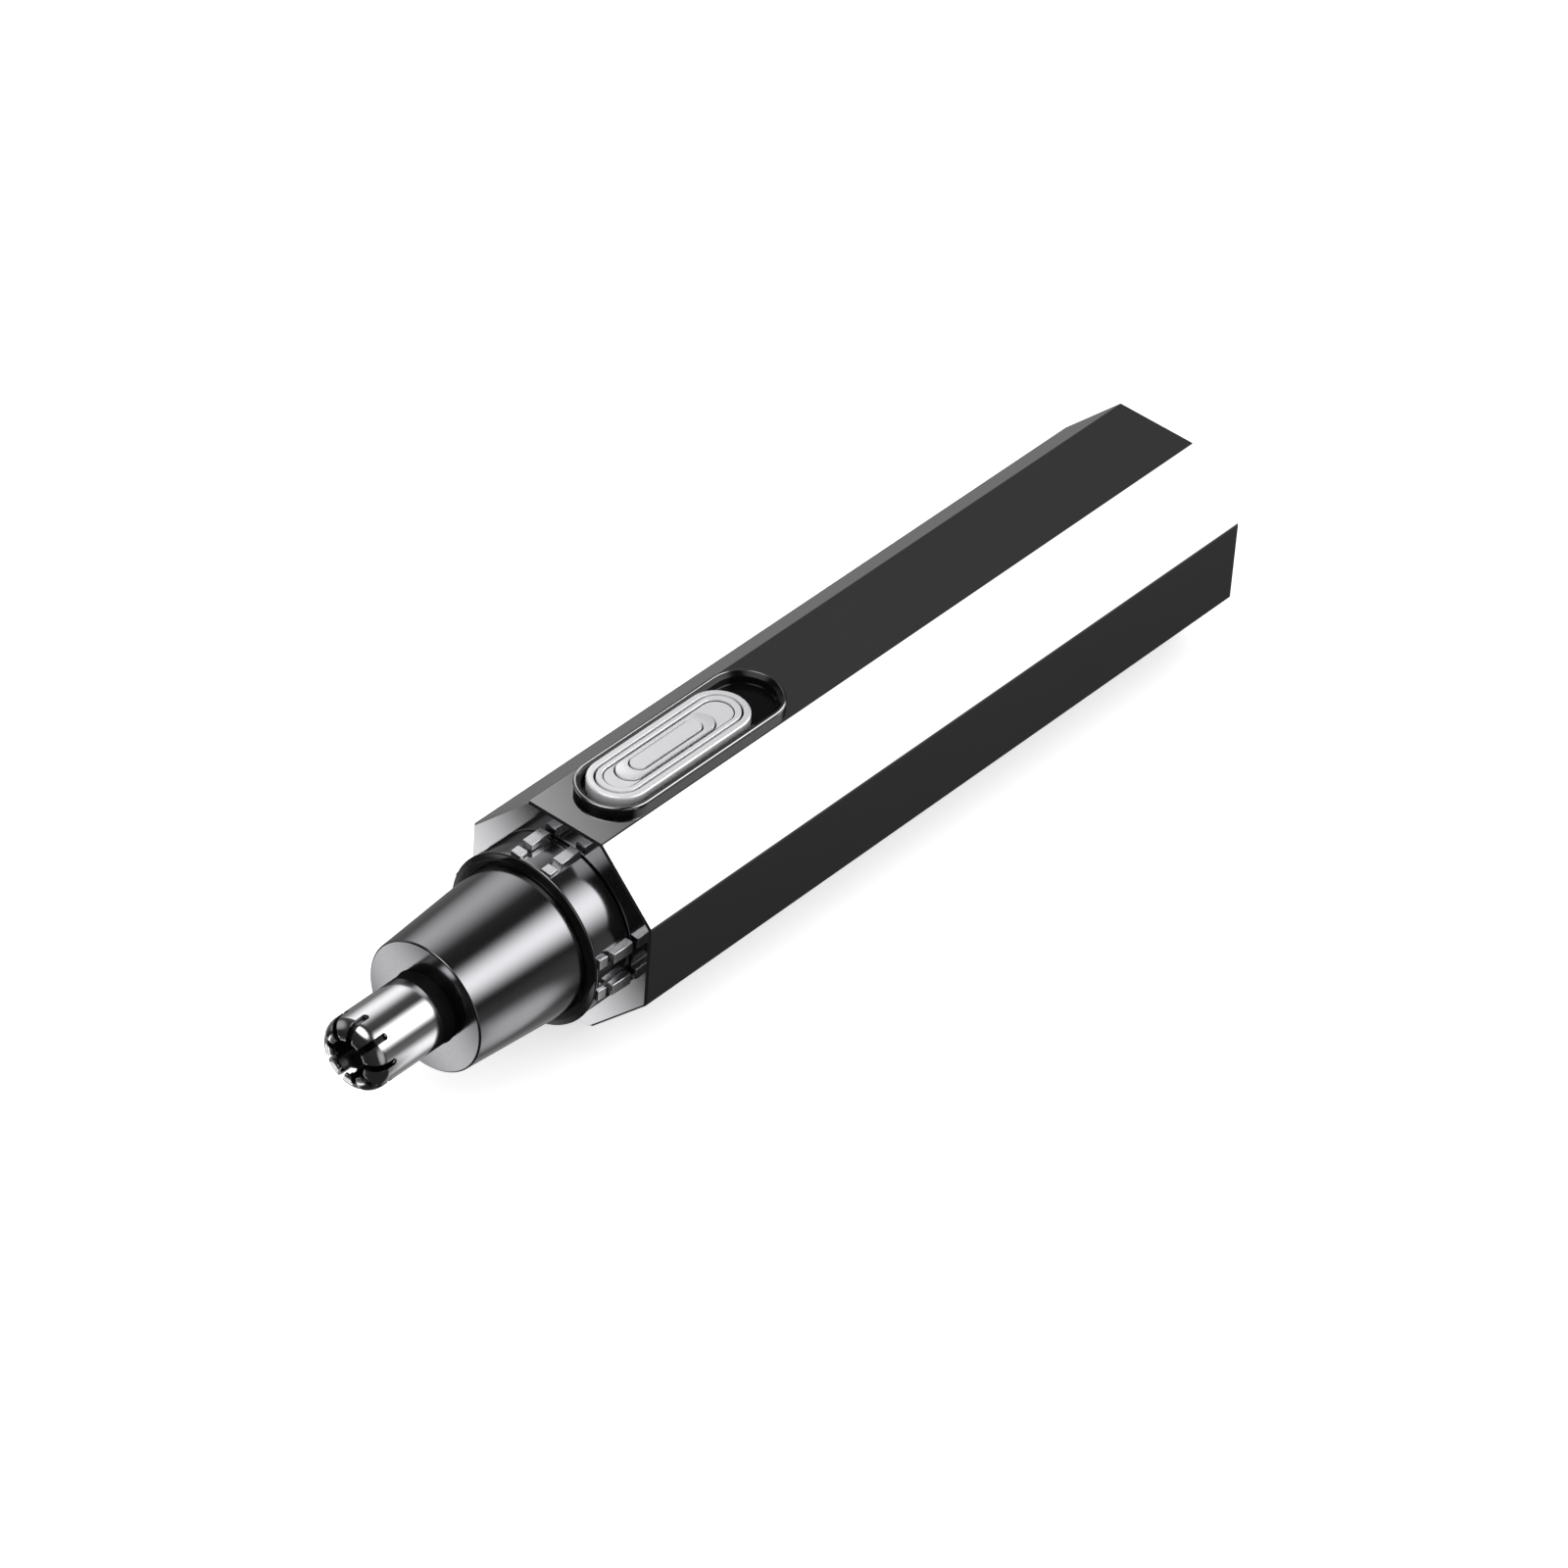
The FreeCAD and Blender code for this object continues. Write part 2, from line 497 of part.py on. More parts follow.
def motor_magnets():
    body = new_body("motor_magnets")
    for side, x0, x1 in (("left", "-d.cavity_half", "0"), ("right", "0", "d.cavity_half")):
        block(body, side + "_magnet", FRONT, "d.magnet_start", "d.magnet_len",
              lambda s: rectangle(s, x0, x1, "-d.magnet_half", "d.magnet_half"))
    block(body, "gap", FRONT, "d.magnet_start - 1", "d.magnet_len + 2",
          lambda s: circle(s, "0", "0", "d.armature_r + d.air_gap"), cut=True)


def motor_armature():
    body = new_body("motor_armature")
    turned(body, "stack", [("d.spindle_r", "d.stack_start"), ("d.armature_r", "d.stack_start"),
                           ("d.armature_r", "d.stack_end"), ("d.spindle_r", "d.stack_end")])
    slot = block(body, "slot", FRONT, "d.magnet_start", "d.magnet_len",
                 lambda s: rectangle(s, "-d.pole_half", "d.pole_half", "d.pole_root", "8"),
                 cut=True)
    around(body, "slots", [slot], 3)


def motor_end_cap():
    body = new_body("motor_end_cap")
    turned(body, "cap", [("d.spindle_r + 0.1", "d.motor_end"), ("d.motor_r", "d.motor_end"),
                         ("d.motor_r", "d.end_cap_end"), ("d.spindle_r + 0.1", "d.end_cap_end")])
    flats(body, "d.motor_end", "d.end_cap_end")


def motor_terminals():
    body = new_body("motor_terminals")
    for side, x0, x1 in (("left", "-d.tab_x - 0.2", "-d.tab_x + 0.2"),
                         ("right", "d.tab_x - 0.2", "d.tab_x + 0.2")):
        block(body, side + "_tab", FRONT, "d.end_cap_end", "d.terminal_len",
              lambda s: rectangle(s, x0, x1, "-d.terminal_half", "d.terminal_half"))


def motor_leads():
    body = new_body("motor_leads")
    for side, x in (("left", "-d.tab_x"), ("right", "d.tab_x")):
        block(body, side + "_wire", TOP, "d.terminal_half",
              "d.board_top - d.board_thick - d.terminal_half",
              lambda s: circle(s, x, "d.end_cap_end + d.lead_back", "d.lead_r"))


def screws(label, head_y, head_thick, spots, head_r, shank_r, shank_len, backward):
    """Pan head screws with a straight slot; backward screws point towards the nose."""
    body = new_body(label)
    sign = -1 if backward else 1
    for i, (x, z) in enumerate(spots):
        block(body, "head_%d" % i, FRONT, head_y, head_thick,
              lambda s: circle(s, x, z, head_r), forward=not backward)
        block(body, "shank_%d" % i, FRONT, "%s + %d * %s" % (head_y, sign, head_thick), shank_len,
              lambda s: circle(s, x, z, shank_r), forward=not backward)
        block(body, "slot_%d" % i, FRONT, head_y, "0.4",
              lambda s: rectangle(s, "%s - 0.2" % x, "%s + 0.2" % x, "%s - 3" % z, "%s + 3" % z),
              cut=True, forward=not backward)


def motor_shaft():
    body = new_body("motor_shaft")
    block(body, "rod", FRONT, "d.shaft_start", "d.shaft_len", lambda s: circle(s, "0", "0",
                                                                               "d.spindle_r"))


def drive_coupler():
    body = new_body("drive_coupler")
    turned(body, "hub", [("0", "d.coupler_front"), ("d.coupler_r", "d.coupler_front"),
                         ("d.coupler_r", "d.coupler_back"), ("d.spindle_r", "d.coupler_back"),
                         ("d.spindle_r", "d.shaft_start"), ("0", "d.shaft_start")])
    block(body, "fork", FRONT, "d.coupler_front - 1", "d.fork_depth + 1",
          lambda s: rectangle(s, "-4", "4", "-d.fork_half", "d.fork_half"), cut=True)


# ---------------------------------------------------------------- collar

def lock_collar():
    body = new_body("lock_collar")
    turned(body, "ring", [("d.collar_bore", "-d.collar_front"),
                          ("d.collar_r - 0.2", "-d.collar_front"),
                          ("d.collar_r", "-d.collar_front + 0.2"), ("d.collar_r", "-d.wedge_back"),
                          ("d.collar_r - 0.25", "-0.1"), ("d.hub_r", "-0.1"), ("d.hub_r",
                                                                               "d.lip_start"),
                          ("d.lip_r", "d.lip_start"), ("d.lip_r", "d.lip_end"), ("d.collar_bore",
                                                                                 "d.lip_end")])
    lug = turned(body, "lug", [("d.lug_in", "-d.lug_front"), ("d.collar_bore + 0.4",
                                                              "-d.lug_front"),
                               ("d.collar_bore + 0.4", "-d.lug_back"), ("d.lug_in", "-d.lug_back")],
                 angle="d.lug_angle")
    around(body, "lugs", [lug], 3)
    recess = block(body, "recess", SIDE, "d.collar_r + 1", "d.recess_depth + 1",
                   lambda s: rectangle(s, "-d.recess_front", "-d.recess_back",
                                       "-(d.rib_off - d.rib_half)",
                                       "d.rib_off - d.rib_half"), cut=True, forward=False)
    around(body, "recesses", [recess], 4)
    ribs = []
    for side, level in (("low", "-d.rib_off - d.rib_half"), ("high", "d.rib_off - d.rib_half")):
        ribs.append(block(body, side + "_front_rib", TOP, level, "2 * d.rib_half",
                          lambda s: polygon(s, [("d.rib_root", "-d.rib_front"), ("d.ring_r",
                                                                                 "-d.rib_front"),
                                                ("d.block_top", "-d.block_back"), ("d.rib_root",
                                                                                   "-d.block_back")])))
        ribs.append(block(body, side + "_rear_rib", TOP, level, "2 * d.rib_half",
                          lambda s: polygon(s, [("d.rib_root", "-d.wedge_front"), ("d.ring_r",
                                                                                   "-d.wedge_front"),
                                                ("d.wedge_top", "-d.wedge_peak"),
                                                ("d.wedge_top - 0.15", "-d.wedge_back"),
                                                ("d.rib_root", "-d.wedge_back")])))
    around(body, "ribs", ribs, 4)


# ---------------------------------------------------------------- cutter head

def head_cone():
    body = new_body("head_cone")
    wall = "d.cone_wall"
    cone = turned(body, "cone", [
        ("d.cone_back_r", "-d.cone_back"), ("d.cone_front_r", "-d.cone_front"),
        ("d.neck_r", "-d.cone_front"), ("d.neck_r", "-d.cone_front + " + wall),
        ("d.cone_front_r - " + wall, "-d.cone_front + " + wall),
        ("d.cone_back_r - " + wall, "-d.cone_back - " + wall),
        ("d.spigot_bore", "-d.cone_back - " + wall), ("d.spigot_bore", "d.spigot_end"),
        ("d.spigot_r", "d.spigot_end"), ("d.spigot_r", "-d.cone_back")])
    front = edges_where(cone, rim_at(-DIMS["cone_front"], DIMS["cone_front_r"]))
    dress(body, "Fillet", cone, front, "d.cone_round")
    lug = turned(body, "lug", [("-d.cone_lug_r", "-d.cone_lug_front"), ("-(d.spigot_r - 0.4)",
                                                                        "-d.cone_lug_front"),
                               ("-(d.spigot_r - 0.4)", "-d.cone_lug_back"), ("-d.cone_lug_r",
                                                                             "-d.cone_lug_back")],
                 angle="d.lug_angle")
    around(body, "lugs", [lug], 3)
    keyway = block(body, "keyway", FRONT, "d.keyway_start", "10",
                   lambda s: rectangle(s, "-(d.key_half + d.key_gap)", "d.key_half + d.key_gap",
                                       "5", "9"),
                   cut=True)
    around(body, "keyways", [keyway], 2)


def head_ring():
    body = new_body("head_ring")
    turned(body, "washer", [("d.spigot_r", "-d.cone_back"), ("d.ring_r - 0.1", "-d.cone_back"),
                            ("d.ring_r", "-d.cone_back + 0.1"),
                            ("d.ring_r", "-d.cone_back + d.ring_thick"),
                            ("d.spigot_r", "-d.cone_back + d.ring_thick")])


def neck_sleeve():
    body = new_body("neck_sleeve")
    seat = "-d.cone_front + d.cone_wall"
    turned(body, "sleeve", [("d.shank_r", "-d.neck_front"), ("d.neck_r", "-d.neck_front"),
                            ("d.neck_r", seat), ("d.flange_r", seat), ("d.flange_r",
                                                                       seat + " + d.flange_thick"),
                            ("d.neck_back_r", seat + " + d.flange_thick"), ("d.neck_back_r",
                                                                            "-d.shank_end"),
                            ("d.shank_r", "-d.shank_end")])


def cutter_tube():
    body = new_body("cutter_tube")
    inner = "d.tube_r - d.tube_wall"
    tube = turned(body, "tube", [
        ("d.mouth_r", "-d.nose_len"), ("d.tube_r", "-d.nose_len"), ("d.tube_r", "-d.neck_front"),
        ("d.shank_r", "-d.neck_front"), ("d.shank_r", "-d.shank_end"),
        ("d.shank_r - d.shank_wall", "-d.shank_end"), ("d.shank_r - d.shank_wall",
                                                       "-d.neck_front - d.shank_wall"),
        (inner, "-d.neck_front - d.shank_wall"), (inner, "-d.nose_len + d.tube_wall"),
        ("d.mouth_r", "-d.nose_len + d.tube_wall")])
    outer_rim = edges_where(tube, rim_at(-DIMS["nose_len"], DIMS["tube_r"]))
    nose = dress(body, "Fillet", tube, outer_rim, "d.nose_round")
    inner_rim = edges_where(nose, rim_at(-DIMS["nose_len"] + DIMS["tube_wall"],
                                         DIMS["tube_r"] - DIMS["tube_wall"]))
    dress(body, "Fillet", nose, inner_rim, "d.nose_round - d.tube_wall")
    slot = block(body, "slot", SIDE, "6", "d.slot_reach",
                 lambda s: rectangle(s, "-d.nose_len - 1", "-d.slot_back",
                                     "-d.slot_half", "d.slot_half"), cut=True, forward=False)
    hole = block(body, "keyhole", SIDE, "6", "d.slot_reach",
                 lambda s: circle(s, "-d.slot_back", "0", "d.keyhole_r + d.keyhole_gap"),
                 cut=True, forward=False)
    around(body, "slots", [slot, hole], "d.slot_count")


def inner_blade():
    body = new_body("inner_blade")
    skin = "d.tube_r - d.tube_wall - d.blade_gap"
    tip = "-d.nose_len + d.tube_wall + d.blade_gap"
    cup = turned(body, "cup", [
        ("d.mouth_r + d.cup_lip", tip), (skin, tip), (skin, "-d.blade_back"),
        ("d.spindle_r", "-d.blade_back"), ("d.spindle_r", "-d.blade_back - d.web_thick"),
        (skin + " - d.blade_wall", "-d.blade_back - d.web_thick"), (skin + " - d.blade_wall",
                                                                    tip + " + d.blade_wall"),
        ("d.mouth_r + d.cup_lip", tip + " + d.blade_wall")])
    corner = rim_at(-DIMS["nose_len"] + DIMS["tube_wall"] + DIMS["blade_gap"],
                    DIMS["tube_r"] - DIMS["tube_wall"] - DIMS["blade_gap"])
    dress(body, "Fillet", cup, edges_where(cup, corner), "d.nose_round - d.tube_wall - d.blade_gap")
    gap = block(body, "gap", SIDE, "6", "d.gap_reach",
                lambda s: rectangle(s, "-d.nose_len", "-d.blade_back - d.gap_back",
                                    "-d.gap_half", "d.gap_half"),
                cut=True, forward=False)
    around(body, "gaps", [gap], "d.blade_count")


def blade_spindle():
    body = new_body("blade_spindle")
    block(body, "rod", FRONT, "-d.blade_back - d.spindle_tip",
          "d.blade_back + d.spindle_tip - d.spindle_end",
          lambda s: circle(s, "0", "0", "d.spindle_r"))


def spindle_bearing():
    body = new_body("spindle_bearing")
    turned(body, "bush", [("d.spindle_r + d.bush_gap", "-d.bush_front"),
                          ("d.shank_r - d.shank_wall", "-d.bush_front"),
                          ("d.shank_r - d.shank_wall", "-d.bush_back"),
                          ("d.spindle_r + d.bush_gap", "-d.bush_back")])


def spindle_dog():
    body = new_body("spindle_dog")
    turned(body, "hub", [("d.spindle_r", "-d.dog_front"), ("d.dog_r", "-d.dog_front"),
                         ("d.dog_r", "-d.dog_back"), ("0", "-d.dog_back"),
                         ("0", "-d.spindle_end"), ("d.spindle_r", "-d.spindle_end")])
    block(body, "tongue", FRONT, "-d.dog_back - 0.1", "d.tongue_end + d.dog_back + 0.1",
          lambda s: rectangle(s, "-d.tongue_half", "d.tongue_half", "-d.spindle_end",
                              "d.spindle_end"))


def blade_spring():
    body = new_body("blade_spring")
    wire = new_sketch(body, "wire", TOP)
    circle(wire, "d.coil_r", "-d.coil_front", "d.wire_r")
    coil = body.newObject("PartDesign::AdditiveHelix", "blade_spring_coil")
    coil.Profile = wire
    coil.ReferenceAxis = (wire, ["V_Axis"])
    coil.Mode = "pitch-height-angle"
    coil.setExpression("Pitch", "d.coil_pitch")
    coil.setExpression("Height", "d.coil_len")


# ---------------------------------------------------------------- rear end

def rear_cap():
    body = new_body("rear_cap")
    thick = "d.cap_end - d.cap_start"
    disc = block(body, "disc", FRONT, "d.cap_start", thick,
                 lambda s: circle(s, "0", "0", "d.cap_r"))
    rim = edges_where(disc, rim_at(DIMS["cap_end"], DIMS["cap_r"]))
    dress(body, "Chamfer", disc, rim, "d.cap_chamfer")
    block(body, "port_window", FRONT, "d.cap_start - 1", thick + " + 2",
          lambda s: stadium(s, "-d.port_mid - d.port_r - d.port_gap",
                            "d.port_mid + d.port_r + d.port_gap",
                            "d.port_r + d.port_gap", mid="d.port_z", sideways=True), cut=True)
    block(body, "lens_hole", FRONT, "d.cap_start - 1", thick + " + 2",
          lambda s: circle(s, "d.lens_x", "d.lens_z", "d.lens_r"), cut=True)
    for side, x in (("left", "-d.boss_x"), ("right", "d.boss_x")):
        block(body, side + "_screw_hole", FRONT, "d.cap_start - 1", thick + " + 2",
              lambda s: circle(s, x, "d.boss_z", "d.cap_hole_r"), cut=True)
        block(body, side + "_counterbore", FRONT, "d.cap_end", "d.counterbore",
              lambda s: circle(s, x, "d.boss_z", "d.counterbore_r"), cut=True, forward=False)


def status_lens():
    body = new_body("status_lens")
    block(body, "pipe", FRONT, "d.cap_start", "d.cap_end - d.cap_start",
          lambda s: circle(s, "d.lens_x", "d.lens_z", "d.lens_r"))


def status_led():
    body = new_body("status_led")
    block(body, "chip", FRONT, "d.led_start", "d.led_len",
          lambda s: rectangle(s, "d.lens_x - d.led_half", "d.lens_x + d.led_half",
                              "d.lens_z", "d.board_top - d.board_thick"))


def usb_shell():
    body = new_body("usb_shell")
    block(body, "tube", FRONT, "d.usb_start", "d.usb_end - d.usb_start",
          lambda s: stadium(s, "-d.port_mid - d.port_r", "d.port_mid + d.port_r", "d.port_r",
                            mid="d.port_z", sideways=True))
    block(body, "mouth", FRONT, "d.usb_end", "d.usb_depth",
          lambda s: stadium(s, "-d.port_mid - d.port_r + d.usb_wall",
                            "d.port_mid + d.port_r - d.usb_wall",
                            "d.port_r - d.usb_wall", mid="d.port_z", sideways=True),
          cut=True, forward=False)


def usb_tongue():
    body = new_body("usb_tongue")
    block(body, "plug_base", FRONT, "d.usb_end - d.usb_depth", "d.plug_thick",
          lambda s: stadium(s, "-d.port_mid - d.port_r + d.usb_wall",
                            "d.port_mid + d.port_r - d.usb_wall",
                            "d.port_r - d.usb_wall", mid="d.port_z", sideways=True))
    block(body, "tongue", FRONT, "d.tongue_root", "d.usb_tongue_len",
          lambda s: rectangle(s, "-d.usb_tongue_half", "d.usb_tongue_half",
                              "d.port_z - d.tongue_rise", "d.port_z + d.tongue_rise"))


# ---------------------------------------------------------------- build and export

for build in (housing_shell, switch_bezel, power_slider, slider_carrier, switch_lever,
              switch_housing, control_board, board_components, front_socket, inner_frame,
              battery_cell, battery_tabs, motor_can, motor_magnets, motor_armature,
              motor_end_cap, motor_terminals, motor_leads, motor_shaft, drive_coupler,
              lock_collar, head_cone, head_ring, neck_sleeve, cutter_tube, inner_blade,
              blade_spindle, spindle_bearing, spindle_dog, blade_spring, rear_cap,
              status_lens, status_led, usb_shell, usb_tongue):
    build()
screws("motor_screws", "d.socket_floor - d.screw_head", "d.screw_head",
       [("-d.screw_x", "0"), ("d.screw_x", "0")], "d.screw_head_r", "d.screw_r",
       "d.screw_len", False)
screws("rear_cap_screws", "d.cap_screw_y", "d.cap_screw_head",
       [("-d.boss_x", "d.boss_z"), ("d.boss_x", "d.boss_z")], "d.cap_screw_r", "d.pilot_r",
       "d.cap_screw_len", True)
doc.recompute()

bodies = [o for o in doc.Objects if o.TypeId == "PartDesign::Body"]
for item in doc.Objects:
    if "Invalid" in item.State or "Error" in item.State:
        raise RuntimeError("%s did not compute" % item.Label)
for body in bodies:
    if body.Shape.isNull() or not body.Shape.isValid():
        raise RuntimeError("%s has no valid shape" % body.Label)

os.makedirs("parts", exist_ok=True)
for body in bodies:
    body.Shape.exportStep("parts/%s.step" % body.Label)
    box = body.Shape.BoundBox
    print("%-18s %2d solid(s) %9.2f mm3  x %.2f %.2f  y %.2f %.2f  z %.2f %.2f" % (
        body.Label, len(body.Shape.Solids), body.Shape.Volume,
        box.XMin, box.XMax, box.YMin, box.YMax, box.ZMin, box.ZMax))
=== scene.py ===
"""Looks for an octagonal nose hair trimmer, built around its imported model."""

import math
import bmesh
import bpy
from bpy.props import FloatProperty, FloatVectorProperty, IntProperty, PointerProperty
from mathutils import Matrix, Vector
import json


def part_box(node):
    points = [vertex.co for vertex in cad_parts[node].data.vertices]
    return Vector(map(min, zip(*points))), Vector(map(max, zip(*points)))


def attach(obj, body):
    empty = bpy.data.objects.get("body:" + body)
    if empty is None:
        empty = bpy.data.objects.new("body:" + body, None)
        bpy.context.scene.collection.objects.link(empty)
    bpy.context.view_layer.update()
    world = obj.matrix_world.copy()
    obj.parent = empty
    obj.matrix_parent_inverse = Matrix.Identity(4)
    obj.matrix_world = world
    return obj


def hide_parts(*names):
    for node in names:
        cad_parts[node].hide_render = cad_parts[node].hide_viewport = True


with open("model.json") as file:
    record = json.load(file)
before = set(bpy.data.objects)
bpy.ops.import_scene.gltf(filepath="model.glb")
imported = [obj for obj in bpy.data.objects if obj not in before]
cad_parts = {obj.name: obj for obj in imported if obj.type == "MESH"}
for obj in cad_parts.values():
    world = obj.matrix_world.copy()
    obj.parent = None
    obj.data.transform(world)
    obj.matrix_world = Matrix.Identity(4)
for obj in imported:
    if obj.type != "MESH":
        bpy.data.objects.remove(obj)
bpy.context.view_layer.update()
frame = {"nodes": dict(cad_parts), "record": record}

bl_info = {
    "name": "Nose hair trimmer",
    "version": (1, 0, 0),
    "blender": (4, 5, 0),
    "location": "3D View > Sidebar > Trimmer",
    "description": "Builds the visible pieces and finishes of an octagonal nose hair trimmer",
    "category": "Add Mesh",
}

MM = 0.001
TAU = 2 * math.pi
SHELL_LOW, SHELL_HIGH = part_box("housing_shell")
FRONT = SHELL_LOW.y
REAR = SHELL_HIGH.y
FLAT = (SHELL_HIGH.z - SHELL_LOW.z) / 2
AXIS_HEIGHT = SHELL_LOW.z + FLAT
# Pieces are drawn about the trimmer's own axis, with y = 0 at the handle's front face.
PLACE = Matrix.Translation((0, FRONT, AXIS_HEIGHT))


# ------------------------------------------------------------------ sizes and colours

class TRIMMER_PG_body(bpy.types.PropertyGroup):
    tint: FloatVectorProperty(name="Body tint", description="Reflection colour of the dark tube",
                              subtype="COLOR", size=3, min=0, max=1, default=(0.50, 0.50, 0.51))
    gloss: FloatProperty(name="Body roughness", description="Blur of the tube's reflections",
                         default=0.07, min=0, max=1, subtype="FACTOR")
    edge: FloatProperty(name="Long edges", description="Rounding between the facets",
                        default=0.45 * MM, min=0, unit="LENGTH")
    chamfer: FloatProperty(name="End chamfer", description="Chamfer at both ends of the tube",
                           default=0.25 * MM, min=0, unit="LENGTH")


class TRIMMER_PG_head(bpy.types.PropertyGroup):
    tint: FloatVectorProperty(name="Cone tint", description="Reflection colour of collar and cone",
                              subtype="COLOR", size=3, min=0, max=1, default=(0.27, 0.27, 0.28))
    gloss: FloatProperty(name="Cone roughness", description="Blur of the cone's reflections",
                         default=0.14, min=0, max=1, subtype="FACTOR")
    rib_round: FloatProperty(name="Rib edge", description="Rounding of the collar's grip ribs",
                             default=0.12 * MM, min=0, unit="LENGTH")


class TRIMMER_PG_cutter(bpy.types.PropertyGroup):
    slots: IntProperty(name="Slots", description="Slots around the cutter tube", default=9,
                       min=3, max=24)
    slot_half: FloatProperty(name="Half slot", description="Half the width of one slot",
                             default=0.42 * MM, min=0, unit="LENGTH")


class TRIMMER_PG_stage(bpy.types.PropertyGroup):
    floor_size: FloatProperty(name="Floor", description="Side of the floor", default=6.0,
                              unit="LENGTH")
    light: FloatProperty(name="Light", description="Brightness of all the soft panels",
                         default=1.0, min=0)
    sky: FloatProperty(name="Sky", description="Brightness of the room on matt surfaces",
                       default=1.1, min=0)


# ------------------------------------------------------------------ materials

class Nodes:
    """Short way to add and wire the nodes of one tree."""

    def __init__(self, tree):
        self.tree = tree
        tree.nodes.clear()

    def add(self, kind, inputs=None, **settings):
        node = self.tree.nodes.new(kind)
        for key, value in settings.items():
            setattr(node, key, value)
        for key, value in (inputs or {}).items():
            if isinstance(value, bpy.types.NodeSocket):
                self.tree.links.new(value, node.inputs[key])
            else:
                node.inputs[key].default_value = value
        return node

    def out(self, kind, inputs=None, output=0, **settings):
        return self.add(kind, inputs, **settings).outputs[output]


GRAIN_LOW, GRAIN_HIGH, GRAIN_HEIGHT = 0.3, 0.7, 2e-6


def finish(name, tone, shade, rough, grain, metallic=0.0, stretch=(1, 1, 1), relief=0.0,
           cloud=90.0, extras=None):
    """Procedural finish: two close tones in soft clouds, and a fine grain that varies the
    roughness and stands up as relief. grain and cloud are in features per metre."""
    material = bpy.data.materials.new(name)
    material.use_nodes = True
    n = Nodes(material.node_tree)
    place = n.out("ShaderNodeTexCoord", output="Object")
    along = n.out("ShaderNodeMapping", {"Vector": place, "Scale": stretch})
    fine = n.out("ShaderNodeTexNoise", {"Vector": along, "Scale": grain, "Detail": 4.0,
                                        "Roughness": 0.6})
    clouds = n.out("ShaderNodeTexNoise", {"Vector": place, "Scale": cloud, "Detail": 2.0})
    blend = n.add("ShaderNodeMix", {0: clouds, 6: (*tone, 1), 7: (*shade, 1)},
                  data_type="RGBA")
    dullness = n.out("ShaderNodeMapRange", {"Value": fine, "From Min": GRAIN_LOW,
                                            "From Max": GRAIN_HIGH, "To Min": rough[0],
                                            "To Max": rough[1]})
    bump = n.out("ShaderNodeBump", {"Height": fine, "Strength": relief,
                                    "Distance": GRAIN_HEIGHT})
    shader = n.add("ShaderNodeBsdfPrincipled",
                   {"Base Color": blend.outputs[2], "Roughness": dullness,
                    "Metallic": metallic, "Normal": bump})
    for key, value in (extras or {}).items():
        shader.inputs[key].default_value = value
    n.add("ShaderNodeOutputMaterial", {"Surface": shader.outputs[0]})
    return material


def grey(level):
    """Grey that leans a little towards blue."""
    return (level, level, level * 1.02)


def darker(colour, share):
    """Second tone of a finish."""
    return [c * share for c in colour]


GLOSS_SPREAD = 0.02


def near(gloss):
    """Narrow range of roughness about one value."""
    return gloss - GLOSS_SPREAD, gloss + GLOSS_SPREAD


FINISHES = {}


